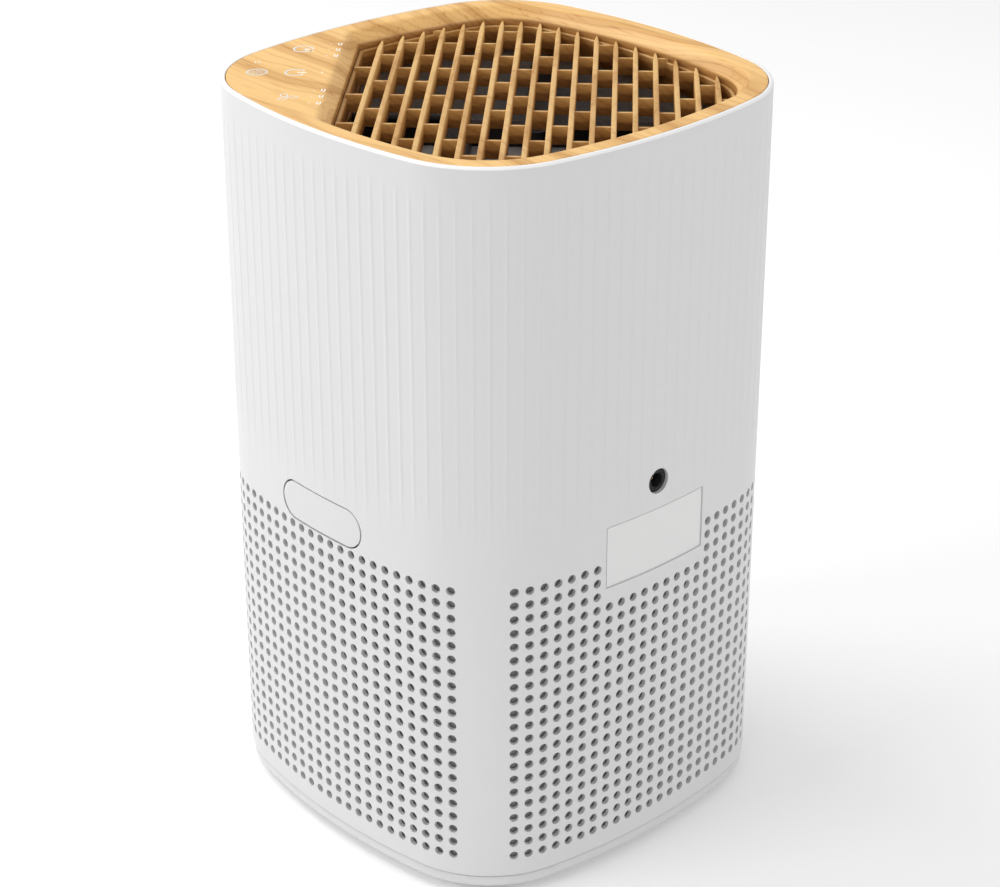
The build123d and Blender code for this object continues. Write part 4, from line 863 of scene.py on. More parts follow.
class PURIFIER_OT_housing(bpy.types.Operator):
    """Build the white housing with its intake holes, flutes, rim and openings"""

    bl_idname = "purifier.housing"
    bl_label = "Housing"

    def execute(self, context):
        housing, _, finish = settings()
        plan = Plan(housing)
        shell, points, shares = housing_shell(housing, plan)
        label_wide = LABEL_HIGH.y - LABEL_LOW.y + 2 * LABEL_MARGIN
        label_tall = LABEL_HIGH.z - LABEL_LOW.z + 2 * LABEL_MARGIN
        middle = (LABEL_HIGH.z + LABEL_LOW.z) / 2
        boolean(shell, face_patch("recess", plan, label_wide, label_tall, middle, 0.0008,
                                  LABEL_RECESS, -0.003), "DIFFERENCE")
        tray_wide = TRAY_HIGH.x - TRAY_LOW.x + 2 * TRAY_GAP
        tray_tall = TRAY_HIGH.z - TRAY_LOW.z + 2 * TRAY_GAP
        tray_middle = (TRAY_HIGH.z + TRAY_LOW.z) / 2
        boolean(shell, prism("opening", pill(tray_wide, tray_tall, tray_middle), "Y",
                             HOUSING_LOW.y - 0.005, HOUSING_LOW.y + 0.008), "DIFFERENCE")
        jack = (JACK_HIGH.z + JACK_LOW.z) / 2
        boolean(shell, prism("inlet", disc(INLET_RADIUS, (0.0, jack)), "X",
                             HOUSING_HIGH.x - 0.008, HOUSING_HIGH.x + 0.005), "DIFFERENCE")
        tidy_mesh(shell, HOUSING_CREASE, 1e-7)
        mark_ridge_highlights(shell, points, shares)
        # Painted highlight: the rim and the beads' ridges are painted paler in this material.
        material = moulded("White Housing", tuple(finish.white), 0.40, 0.00004, 0.012, 0.5,
                           bright=HOUSING_HIGH.z - 0.0012)
        finish_piece(shell, "housing", "housing_white", material, "outer_housing")
        return {"FINISHED"}


HOUSING_CREASE = 19.5    # degrees: sharper edges of the housing are shaded sharp
LABEL_MARGIN = 0.0008
LABEL_RECESS = 0.0006
TRAY_GAP = 0.00075
INLET_RADIUS = 0.0056


# --- cover and outlet ---------------------------------------------------------------------------

class OutletEdge:
    """The outlet's D-shaped edge and its outward directions, which any offset shares."""

    def __init__(self, plan, cover, steps=270):
        quarter = plan.quarter
        inset = cover.band + cover.corner
        target = cover.panel_edge + cover.corner
        low, high = 0.0, quarter
        for _ in range(60):
            middle = (low + high) / 2
            x, y = plan.at(2.5 * quarter - middle, inset)
            low, high = (middle, high) if (x + y) * sqrt(0.5) < target else (low, middle)
        runs = np.linspace(2.5 * quarter + low, 6.5 * quarter - low, steps)
        spots = plan.at(runs, cover.band)
        ways = (plan.at(runs, 0.0) - plan.at(runs, 0.01)) / 0.01
        panel = radians(225)
        first = plan.at(runs[-1], inset)
        last = plan.at(runs[0], inset)
        turn_in = atan2(ways[-1][1], ways[-1][0]) % (2 * pi)
        turn_out = atan2(ways[0][1], ways[0][0]) % (2 * pi)
        arcs = []
        for centre, a, b in ((first, turn_in, panel), (last, panel, turn_out)):
            turns = np.linspace(a, b, 14)
            way = np.stack([np.cos(turns), np.sin(turns)], -1)
            arcs.append((centre + cover.corner * way, way))
        (enter, enter_way), (leave, leave_way) = arcs
        share = np.linspace(0, 1, 42)[1:-1, None]
        side = enter[-1] * (1 - share) + leave[0] * share
        side_way = np.tile([cos(panel), sin(panel)], (len(side), 1))
        self.spots = np.concatenate([spots, enter[1:], side, leave[:-1]])
        self.ways = np.concatenate([ways, enter_way[1:], side_way, leave_way[:-1]])

    def loop(self, inwards, height=None):
        """The edge moved inwards, as plan points or as points at a height."""
        flat = self.spots - self.ways * inwards
        if height is None:
            return flat
        return np.column_stack([flat, np.full(len(flat), height)])

    def reach(self, u, inwards):
        """The lowest and highest places along a straight line of constant u."""
        flat = self.loop(inwards)
        us = (flat[:, 0] + flat[:, 1]) * sqrt(0.5)
        vs = (flat[:, 1] - flat[:, 0]) * sqrt(0.5)
        hits = []
        for i in range(len(us)):
            j = (i + 1) % len(us)
            if (us[i] - u) * (us[j] - u) < 0:
                share = (u - us[i]) / (us[j] - us[i])
                hits.append(vs[i] + share * (vs[j] - vs[i]))
        return min(hits), max(hits)


def ring_solid(name, rings, smooth_angle=30.0):
    """A closed ring swept round a loop, from its section's loops in order."""
    points, faces = ring_strip([np.asarray(r) for r in rings])
    return mesh_object(name, points, faces, smooth_angle)


def cover_panel(plan, cover):
    """The cover: flat band and touch panel, sloping outlet edge, collar and skirt."""
    edge = OutletEdge(plan, cover)
    top = COVER_HIGH.z
    low = COVER_LOW.z
    under = top - COVER_PLATE
    out = RIM_INSET
    runs = np.arange(3 * plan.flutes) / 3 * plan.pitch
    outer = []
    for inset, height in ((out + 0.0016, under), (out + 0.0016, COVER_SKIRT_LOW),
                          (out, COVER_SKIRT_LOW), (out, top - 0.0005),
                          (out + 0.0001, top - 0.00022), (out + 0.0003, top - 0.00006),
                          (out + 0.0006, top), (out + 0.0011, top)):
        outer.append(np.column_stack([plan.at(runs, inset), np.full(len(runs), height)]))
    bevel = cover.bevel
    inner = [edge.loop(-0.0024, top)]
    bend = 0.0042
    start = -bend * sin(pi / 8) / cos(pi / 8)
    for step in range(7):
        turn = pi / 4 * step / 6
        inner.append(edge.loop(start + bend * sin(turn), top - bend * (1 - cos(turn))))
    foot = 0.0012
    start = bevel - foot * 0.4
    inner += [edge.loop(start - 0.0003, top - start + 0.0003), edge.loop(start, top - start),
              edge.loop(bevel - 0.0001, top - bevel - 0.0002),
              edge.loop(bevel, top - bevel - foot), edge.loop(bevel, low + 0.0025),
              edge.loop(bevel + 0.0025, low + 0.0025), edge.loop(bevel + 0.0025, low),
              edge.loop(bevel - 0.002, low), edge.loop(bevel - 0.002, under)]
    parts = [ring_strip(rings, closed=False) for rings in (outer, inner)]
    parts += [flat_between(outer[-1], inner[0]), flat_between(outer[0], inner[-1])]
    points, faces = [], []
    for some, more in parts:
        start = len(points)
        points += [tuple(p) for p in some]
        faces += [[start + i for i in face] for face in more]
    return mesh_object("cover_panel", points, faces, 24.0)


def bar(name, section, length_run, taper=None):
    """A bar along V from 0, of a closed (across, height) section, with optional tapered rings."""
    stations = taper or [(0.0, 1.0, 0.0), (length_run, 1.0, 0.0)]
    rings = []
    for run, width, drop in stations:
        rings.append([(*(across(a * width, run)), z - drop * (z - section_floor(section)))
                      for a, z in section])
    count = len(section)
    points = [p for ring in rings for p in ring]
    faces = [(r * count + i, r * count + (i + 1) % count, (r + 1) * count + (i + 1) % count,
              (r + 1) * count + i) for r in range(len(rings) - 1) for i in range(count)]
    faces += [list(range(count)), list(range(len(points) - 1, len(points) - count - 1, -1))]
    return mesh_object(name, points, faces, 30.0)


def section_floor(section):
    """The lowest height in a section."""
    return min(z for _, z in section)


def rounded_section(width, low, high, bend):
    """A bar's section with its two top edges rounded."""
    turns = [pi / 2 * i / 3 for i in range(4)]
    right = [(width / 2 - bend + bend * cos(t), high - bend + bend * sin(t)) for t in turns]
    left = [(-a, z) for a, z in reversed(right)]
    return [(width / 2, low)] + right + left + [(-width / 2, low)]


def outlet_louvre(plan, cover, material):
    """Frame, long slats and staggered ribs of the outlet grille."""
    edge = OutletEdge(plan, cover)
    top = GRILLE_HIGH.z
    low = GRILLE_LOW.z
    side = cover.bevel + 0.0002
    rim = top - 0.003
    frame_ring = ring_solid("frame", [edge.loop(side + w, z) for w, z in (
        (0.0, low), (0.0, rim - 0.0003), (0.0003, rim), (0.0013, rim), (0.0016, rim - 0.0003),
        (0.0016, low))])
    section = rounded_section(cover.slat_width, top - cover.slat_depth, top, 0.0005)
    tip_run = 0.015
    spots, lengths, tips = [], [], []
    for slat in range(cover.slats):
        u = SLAT_FIRST + slat * cover.slat_pitch
        low_v, high_v = edge.reach(u, side - 0.0001)
        spots.append((*across(u, low_v), 0.0))
        lengths.append(high_v - tip_run - low_v)
        tips.append((*across(u, high_v - tip_run), 0.0))
    unit = bar("unit", section, 1.0)
    stretch = placed_bars("slats", unit, spots, lengths, material)
    end = bar("tip", section, tip_run, [(-0.0004, 0.98, 0.002), (tip_run * 0.3, 0.9, 0.01),
                                        (tip_run * 0.6, 0.66, 0.03), (tip_run * 0.85, 0.36, 0.07),
                                        (tip_run, 0.05, 0.12)])
    ends = placed("tips", end, tips, [(0, 0, 0)] * len(tips), material=material)
    rib = bar("rib", [(cover.slat_pitch / 2 + 0.0001, top - cover.slat_depth),
                      (cover.slat_pitch / 2 + 0.0001, top - cover.rib_drop),
                      (-cover.slat_pitch / 2 - 0.0001, top - cover.rib_drop),
                      (-cover.slat_pitch / 2 - 0.0001, top - cover.slat_depth)],
              cover.rib_thickness)
    bays = cover.slats + 1
    reach = 5
    first = across(SLAT_FIRST - cover.slat_pitch / 2,
                   cover.rib_start - cover.rib_thickness / 2 - reach * cover.rib_pitch)
    rib.data.transform(Matrix.Translation((*first, 0.0)))
    ribs = repeated(rib, 2 * reach, (*across(0, cover.rib_pitch), 0), bays,
                    (*across(cover.slat_pitch, 0), 0),
                    (*across(0, cover.rib_pitch / 2), 0), material=material)
    boolean(ribs, prism("clip", [tuple(p) for p in edge.loop(side + 0.0008)], "Z",
                        low - 0.01, top + 0.01), "INTERSECT")
    return joined("outlet_louvre", [frame_ring, stretch, ends, ribs], 30.0)


def placed_bars(name, unit, spots, lengths, material):
    """Bars of one section, stretched in length alone: each is turned to lie along Y first."""
    unit.data.transform(Matrix.Rotation(radians(-45), 4, "Z"))
    return placed(name, unit, spots, [(0, 0, radians(45))] * len(spots),
                  [(1, length, 1) for length in lengths], material)


COVER_PLATE = 0.0035
COVER_SKIRT_LOW = 0.321
RIM_INSET = 0.0023
SLAT_FIRST = -0.05326


class PURIFIER_OT_cover(bpy.types.Operator):
    """Build the wood-look cover with its touch panel and sloping outlet edge"""

    bl_idname = "purifier.cover"
    bl_label = "Cover"

    def execute(self, context):
        housing, cover, finish = settings()
        panel = cover_panel(Plan(housing), cover)
        # The cover's wood colour is scaled by 0.97 and has painted shade below its top height.
        material = wood("Cover Wood", finish, COVER_HIGH.z - 0.0002, 0.97)
        finish_piece(panel, "housing", "cover_bamboo", material, "top_cover")
        return {"FINISHED"}


class PURIFIER_OT_louvre(bpy.types.Operator):
    """Build the outlet grille: frame, slats and ribs"""

    bl_idname = "purifier.louvre"
    bl_label = "Outlet Grille"

    def execute(self, context):
        housing, cover, finish = settings()
        # Painted shade: the grille's wood is painted at 0.80 of the colour, for lying lower than
        # the cover.
        material = wood("Grille Wood", finish, GRILLE_HIGH.z - 0.0005, 0.80, 0.9, 0.3,
                        radians(45))
        louvre = outlet_louvre(Plan(housing), cover, material)
        finish_piece(louvre, "housing", "grille_bamboo", material, "outlet_grille")
        return {"FINISHED"}


# --- touch panel symbols ------------------------------------------------------------------------

def stroke(path, width, closed=False):
    """Outline quads of a line with width, as convex plan pieces."""
    quads = []
    count = len(path)
    for i in range(count if closed else count - 1):
        a, b = np.array(path[i]), np.array(path[(i + 1) % count])
        along = b - a
        along = along / (hypot(*along) or 1.0)
        side = np.array([-along[1], along[0]]) * width / 2
        over = along * width * 0.12
        quads.append([a - side - over, b - side + over, b + side + over, a + side - over])
    return quads


def arc_path(radius, start, end, steps=22, centre=(0, 0)):
    """Points of an arc, in degrees, anticlockwise from the right."""
    turns = np.linspace(radians(start), radians(end), steps)
    return [(centre[0] + radius * cos(t), centre[1] + radius * sin(t)) for t in turns]


def symbol_pieces():
    """The panel's symbols in millimetres about their own middles, up being towards the outlet."""
    line = 0.72
    timer = stroke(arc_path(3.1, 100, 425), line) + stroke([(0, 2.0), (0, 0), (1.3, 1.0)], line)
    timer += stroke([(1.2, 2.2), (1.9, 2.4), (2.0, 3.2)], line)
    power = stroke(arc_path(3.1, 125, 415), line) + stroke([(0, 0.6), (0, 3.3)], line)
    ioniser = stroke(arc_path(3.0, 0, 360, 30), line)
    for turn in range(6):
        spot = (1.55 * cos(turn * pi / 3), 1.55 * sin(turn * pi / 3))
        ioniser += stroke(arc_path(0.35, 0, 360, 8, spot), 0.35)
    ioniser += stroke(arc_path(0.35, 0, 360, 8), 0.35)
    fan = []
    for turn in range(3):
        spin = radians(90 + 120 * turn)
        middle = (1.9 * cos(spin), 1.9 * sin(spin))
        petal = [(middle[0] + 1.5 * cos(t) * cos(spin) - 1.0 * sin(t) * sin(spin),
                  middle[1] + 1.5 * cos(t) * sin(spin) + 1.0 * sin(t) * cos(spin))
                 for t in np.linspace(0, 2 * pi, 16)[:-1]]
        fan += stroke(petal, 0.4, True)
    return [timer, power, ioniser, fan]


class PURIFIER_OT_symbols(bpy.types.Operator):
    """Print the touch keys' plain symbols and the indicator marks on the panel"""

    bl_idname = "purifier.symbols"
    bl_label = "Panel Symbols"

    def execute(self, context):
        finish = settings()[2]
        quads = []
        for (u0, v0), pieces in zip(KEY_SPOTS, symbol_pieces()):
            for quad in pieces:
                quads.append([across(u0 + SYMBOL_SCALE * b, v0 - SYMBOL_SCALE * a)
                              for a, b in quad])
        for v in (40.0, 32.0, 23.5, -24.0, -32.0, -40.5):
            for shape in ([(-1.5, 1.5), (0.5, 1.5)], [(-1.5, 0.2), (1.1, 0.2)],
                          [(1.1, 0.2), (1.1, 1.6)], [(-0.2, -3.0), (0.2, -3.0)]):
                for quad in stroke(shape, 0.55):
                    quads.append([across(-70.0 + b, v - a) for a, b in quad])
        for quad in stroke([(-0.9, 0), (0.9, 0)], 0.5):
            quads.append([across(-72.4 + b, -a) for a, b in quad])
        for shape in ([(-1.1, 0), (1.1, 0)], [(0, -0.7), (0, 1.3)], [(-1.1, -1.4), (1.1, -1.4)]):
            for quad in stroke(shape, 0.4):
                quads.append([across(-100.6 + b, 12.6 - a) for a, b in quad])
        top = COVER_HIGH.z
        points, faces = [], []
        for quad in quads:
            start = len(points)
            points += [(*(MM * q), height) for height in (top - 0.0002, top + 0.00003)
                       for q in quad]
            faces += [(start, start + 3, start + 2, start + 1),
                      tuple(range(start + 4, start + 8))]
            faces += [(start + i, start + (i + 1) % 4, start + 4 + (i + 1) % 4, start + 4 + i)
                      for i in range(4)]
        marks = mesh_object("panel_symbols", points, faces, 30.0)
        material = moulded("Panel Print", tuple(finish.print_white), 0.5, 0.00001, 0.03)
        finish_piece(marks, "housing", "guide_clear", material)
        return {"FINISHED"}


SYMBOL_SCALE = 1.35
KEY_SPOTS = [(-84.0, 32.2), (-83.4, -0.7), (-99.5, -0.9), (-83.1, -33.3)]


# --- aroma tray and label -----------------------------------------------------------------------

FRONT_DEPTH = 0.0028     # thickness of the drawer's front


def pill_stations(wide, tall, steps):
    """Places across a rounded slot and its half height at each."""
    radius = tall / 2
    straight = wide / 2 - radius
    turns = np.linspace(0.02, pi / 2, 9)
    left = -straight - radius * np.cos(turns)
    middle = np.linspace(-straight, straight, steps)[1:-1]
    places = np.concatenate([left, middle, -left[::-1]])
    heights = np.concatenate([radius * np.sin(turns), np.full(len(middle), radius),
                              radius * np.sin(turns)[::-1]])
    return places, heights


def grid_border(wide, tall):
    """Indices round the border of a grid of wide by tall cells, in order."""
    row = wide + 1
    return ([*range(wide)] + [wide + j * row for j in range(tall)]
            + [tall * row + i for i in range(wide, 0, -1)]
            + [j * row for j in range(tall, 0, -1)])


class PURIFIER_OT_aroma(bpy.types.Operator):
    """Build the aroma drawer with its flush front, and the felt pad in it"""

    bl_idname = "purifier.aroma"
    bl_label = "Aroma Drawer"

    def execute(self, context):
        housing, _, finish = settings()
        plan = Plan(housing)
        wide, tall = TRAY_HIGH.x - TRAY_LOW.x, TRAY_HIGH.z - TRAY_LOW.z
        middle = (TRAY_HIGH.z + TRAY_LOW.z) / 2
        places, halves = pill_stations(wide, tall, 43)
        rows = 7
        shrink = 0.0004
        points, faces = [], []
        for place, half in zip(places, halves):
            levels = np.linspace(-1, 1, rows) * half
            run = 3 * plan.quarter + place
            cut = flute_cut(plan, housing, np.full(rows, run), middle + levels)
            edge = np.array([1.0] + [0.0] * (rows - 2) + [1.0])
            depth = cut + shrink * 0.5 * edge
            spot = plan.at(np.full(rows, run), depth)
            for (x, y), level in zip(spot, levels):
                points.append((x, y, middle + level))
            spot = plan.at(np.full(rows, run), np.full(rows, FRONT_DEPTH))
            for (x, y), level in zip(spot, levels):
                points.append((x, y, middle + level))
        band = 2 * rows
        for i in range(len(places) - 1):
            a, b = i * band, (i + 1) * band
            for r in range(rows - 1):
                faces.append((a + r, b + r, b + r + 1, a + r + 1))
                faces.append((a + rows + r + 1, b + rows + r + 1, b + rows + r, a + rows + r))
            faces.append((a, a + rows, b + rows, b))
            faces.append((a + rows - 1, b + rows - 1, b + 2 * rows - 1, a + 2 * rows - 1))
        last = (len(places) - 1) * band
        faces += [[*range(rows), *range(2 * rows - 1, rows - 1, -1)],
                  [*range(last + rows - 1, last - 1, -1), *range(last + rows, last + 2 * rows)]]
        front = mesh_object("front", points, faces, 12.0)
        back = TRAY_HIGH.y
        start = TRAY_LOW.y + FRONT_DEPTH
        half, tall_half, wall = 0.020, 0.006, 0.0016
        box = [(-half, start), (half, start), (half, back), (-half, back)]
        drawer = prism("drawer", box, "Z", middle - tall_half, middle + tall_half)
        pocket = [(-half + wall, start + wall), (half - wall, start + wall),
                  (half - wall, back - wall), (-half + wall, back - wall)]
        boolean(drawer, prism("pocket", pocket, "Z", middle - tall_half + wall,
                              middle + tall_half + 0.002), "DIFFERENCE")
        tray = joined("aroma_drawer_tray", [front, drawer], 12.0)
        material = moulded("Drawer White", tuple(finish.white), 0.5, 0.00004, 0.012)
        finish_piece(tray, "aroma_drawer", "housing_white", material, "aroma_tray")
        self.pad()
        return {"FINISHED"}

    def pad(self):
        """A soft felt block, crowned, with its sides drawn in."""
        low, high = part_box("aroma_pad")
        middle = (low + high) / 2
        half = (high - low) / 2
        across_steps, along_steps, layers = 22, 18, 6
        points = []
        for layer in range(layers + 1):
            level = layer / layers * 2 - 1
            draw = 1 - 0.035 * (1 - abs(level)) - 0.05 * max(0.0, abs(level) - 0.7) / 0.3
            for j in range(along_steps + 1):
                for i in range(across_steps + 1):
                    a, b = i / across_steps * 2 - 1, j / along_steps * 2 - 1
                    crown = (1 - a * a) * (1 - b * b)
                    rounding = 1 - 0.1 * (a * a * b * b)
                    bulk = level * (0.78 + 0.22 * crown) if level > 0 else level
                    points.append((middle.x + half.x * a * draw * rounding,
                                   middle.y + half.y * b * draw * rounding,
                                   middle.z + half.z * bulk))
        row = across_steps + 1
        sheet = row * (along_steps + 1)
        faces = []
        for j in range(along_steps):
            for i in range(across_steps):
                a = j * row + i
                faces.append((a, a + row, a + row + 1, a + 1))
                b = a + layers * sheet
                faces.append((b, b + 1, b + row + 1, b + row))
        border = grid_border(across_steps, along_steps)
        for layer in range(layers):
            for k, a in enumerate(border):
                b = border[(k + 1) % len(border)]
                faces.append((layer * sheet + a, layer * sheet + b,
                              (layer + 1) * sheet + b, (layer + 1) * sheet + a))
        felt = mesh_object("aroma_felt", points, faces, 60.0)
        finish_piece(felt, "aroma_drawer", "pad_felt",
                     woven("Felt", (0.62, 0.60, 0.55), 0.0011, 0.0002), "aroma_pad")


class PURIFIER_OT_label(bpy.types.Operator):
    """Build the blank rating label, a thin film in its recess"""

    bl_idname = "purifier.label"
    bl_label = "Rating Label"

    def execute(self, context):
        plan = Plan(settings()[0])
        film = face_patch("label_film", plan, LABEL_HIGH.y - LABEL_LOW.y,
                          LABEL_HIGH.z - LABEL_LOW.z, (LABEL_HIGH.z + LABEL_LOW.z) / 2, 0.0006,
                          LABEL_RECESS, LABEL_RECESS - 0.00025)
        material = moulded("Label Film", (0.70, 0.70, 0.695), 0.35, 0.00001, 0.01)
        finish_piece(film, "housing", "label_white", material, "rating_label")
        return {"FINISHED"}


# --- mouldings that keep the frame's shapes -----------------------------------------------------

def refined(node, name, body, slot, material, angle=28.0):
    """A copy of a frame node, merged and smoothly shaded, that stands for it."""
    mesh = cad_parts[node].data.copy()
    piece = bpy.data.objects.new(name, mesh)
    bpy.context.scene.collection.objects.link(piece)
    work = bmesh.new()
    work.from_mesh(mesh)
    bmesh.ops.remove_doubles(work, verts=work.verts, dist=1e-6)
    work.to_mesh(mesh)
    work.free()
    mesh.shade_smooth()
    mesh.set_sharp_from_angle(angle=radians(angle))
    flat_first = piece.modifiers.new("normals", "WEIGHTED_NORMAL")
    flat_first.weight = 100
    flat_first.keep_sharp = True
    baked(piece)
    return finish_piece(piece, body, slot, material, node)


def repaint(node, material):
    """Give a frame node a better material."""
    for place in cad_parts[node].material_slots:
        place.material = material


class PURIFIER_OT_base(bpy.types.Operator):
    """Finish the base, the filter cover and the rubber feet"""

    bl_idname = "purifier.base"
    bl_label = "Base"

    def execute(self, context):
        finish = settings()[2]
        white = moulded("Base White", tuple(finish.white), 0.5, 0.00004, 0.015)
        refined("base_tray", "base_pan", "housing", "base_white", white)
        refined("filter_cover", "filter_door", "filter_cover", "base_white", white)
        rubber = moulded("Foot Rubber", (0.30, 0.30, 0.30), 0.75, 0.00006, 0.12, 0.3)
        refined("rubber_feet", "soft_feet", "housing", "foot_rubber", rubber)
        return {"FINISHED"}


class PURIFIER_OT_fan(bpy.types.Operator):
    """Finish the fan, its motor, the ducting and the motor's bracket"""

    bl_idname = "purifier.fan"
    bl_label = "Fan And Ducting"

    def execute(self, context):
        finish = settings()[2]
        black = moulded("Fan Black", tuple(finish.black), 0.38, 0.00003, 0.2, 0.5)
        duct = moulded("Duct Grey", tuple(finish.duct), 0.5, 0.00004, 0.06)
        cup = moulded("Motor Grey", (0.56, 0.59, 0.64), 0.42, 0.00004, 0.1)
        refined("impeller", "fan_wheel", "fan_rotor", "impeller_black", black)
        refined("motor_bracket", "motor_arms", "housing", "bracket_black", black)
        refined("air_duct", "outlet_duct", "housing", "duct_grey", duct)
        refined("motor_cup", "motor_housing", "housing", "motor_grey", cup)
        for node in ("fan_deck", "inlet_ring", "fan_casing", "aroma_sleeve", "jack_bracket"):
            repaint(node, duct)
        return {"FINISHED"}


LINING_LOW = 0.0152
LINING_HIGH = 0.1508
LINING_DEPTHS = (0.0027, 0.0032)


def ring_size(node):
    """Inner and outer radius and the heights of a round frame node."""
    spots = np.array([v.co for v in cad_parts[node].data.vertices])
    radii = np.hypot(spots[:, 0], spots[:, 1])
    return radii.min(), radii.max(), spots[:, 2].min(), spots[:, 2].max()


def circle_loop(radius, height, steps=120, ripple=0.0, waves=24):
    """A circle's points, anticlockwise, with an optional gentle ripple."""
    turns = np.arange(steps) / steps * 2 * pi
    reach = radius + ripple * np.sin(turns * waves) * np.sin(turns * 5.0 + 1.0)
    return np.column_stack([reach * np.cos(turns), reach * np.sin(turns), np.full(steps, height)])


def soft_ring(name, node, bend, sink, ripple=0.0):
    """A soft ring in place of a plain one: rounded edges, a crowned top and drawn-in sides."""
    inner, outer, low, high = ring_size(node)
    rings = []
    for side, way in ((outer, -1), (inner, 1)):
        column = [(0.0, bend), (0.12, 0.3 * bend), (0.3, 0.0), (0.5, sink), (0.7, 0.0),
                  (0.88, 0.3 * bend), (1.0, bend)]
        if way > 0:
            column = column[::-1]
        rings += [circle_loop(side + way * inset, low + (high - low) * share, ripple=ripple)
                  for share, inset in column]
        if way < 0:
            rings.append(circle_loop((inner + outer) / 2, high - 0.00002, ripple=ripple))
    return ring_solid(name, rings, 60.0)


def pleated_ring(name, node, pleats, thickness):
    """A folded band standing on edge, and the flat length of it."""
    inner, outer, low, high = ring_size(node)
    bend = 0.001
    middle = []
    for pleat in range(pleats):
        turn = 2 * pi * pleat / pleats
        for centre, way, turn in ((outer - bend - thickness, 1, turn),
                                  (inner + bend + thickness, -1, turn + pi / pleats)):
            out = np.array([cos(turn), sin(turn)])
            over = np.array([-sin(turn), cos(turn)])
            for swing in (-75, -40, 0, 40, 75):
                middle.append(out * (centre + way * bend * cos(radians(swing)))
                              + over * bend * sin(radians(swing)))
    middle = np.array(middle)
    along = np.roll(middle, -1, axis=0) - np.roll(middle, 1, axis=0)
    along /= np.hypot(along[:, 0], along[:, 1])[:, None]
    out = np.column_stack([along[:, 1], -along[:, 0]]) * thickness / 2
    rings = [np.column_stack([middle + out * side, np.full(len(middle), height)])
             for side, height in ((-1, low), (1, low), (1, high), (-1, high))]
    steps = middle - np.roll(middle, 1, axis=0)
    return ring_solid(name, rings, 50.0), float(np.hypot(steps[:, 0], steps[:, 1]).sum())


def webbing_tab(name, node, thickness):
    """A short strap with rounded corners, thin edges and a doubled, sewn end."""
    low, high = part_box(node)
    size = high - low
    thin = min(range(3), key=lambda i: size[i])
    long, wide = sorted((i for i in range(3) if i != thin), key=lambda i: -size[i])
    steps, lanes = 28, 14
    points = []
    for side in (0, 1):
        for i in range(steps + 1):
            for j in range(lanes + 1):
                a, b = i / steps, j / lanes * 2 - 1
                ends = min(1.0, min(a, 1 - a) * size[long] / 0.003)
                narrow = 1 - 0.18 * (1 - ends) ** 2
                edge = 1 - max(0.0, abs(b) - 0.85) / 0.15 * 0.6
                bulk = thickness * edge * (1.35 if a < 0.3 else 1.0)
                lift = 0.00008 * sin(a * 9.0) * (1 - b * b)
                spot = [0.0, 0.0, 0.0]
                spot[long] = low[long] + size[long] * a
                spot[wide] = (low[wide] + high[wide]) / 2 + size[wide] / 2 * b * narrow
                spot[thin] = (low[thin] + high[thin]) / 2 + lift + (side - 0.5) * bulk
                points.append(spot)
    row = lanes + 1
    sheet = row * (steps + 1)
    faces = []
    for i in range(steps):
        for j in range(lanes):
            a = i * row + j
            faces.append((a, a + 1, a + row + 1, a + row))
            faces.append((sheet + a, sheet + a + row, sheet + a + row + 1, sheet + a + 1))
    border = grid_border(lanes, steps)
    for k, a in enumerate(border):
        b = border[(k + 1) % len(border)]
        faces.append((b, a, sheet + a, sheet + b))
    tab = mesh_object(name, points, faces, 50.0)
    tidy_mesh(tab, 50.0, 1e-7)
    return tab, (float(size[wide]), float(size[long]))


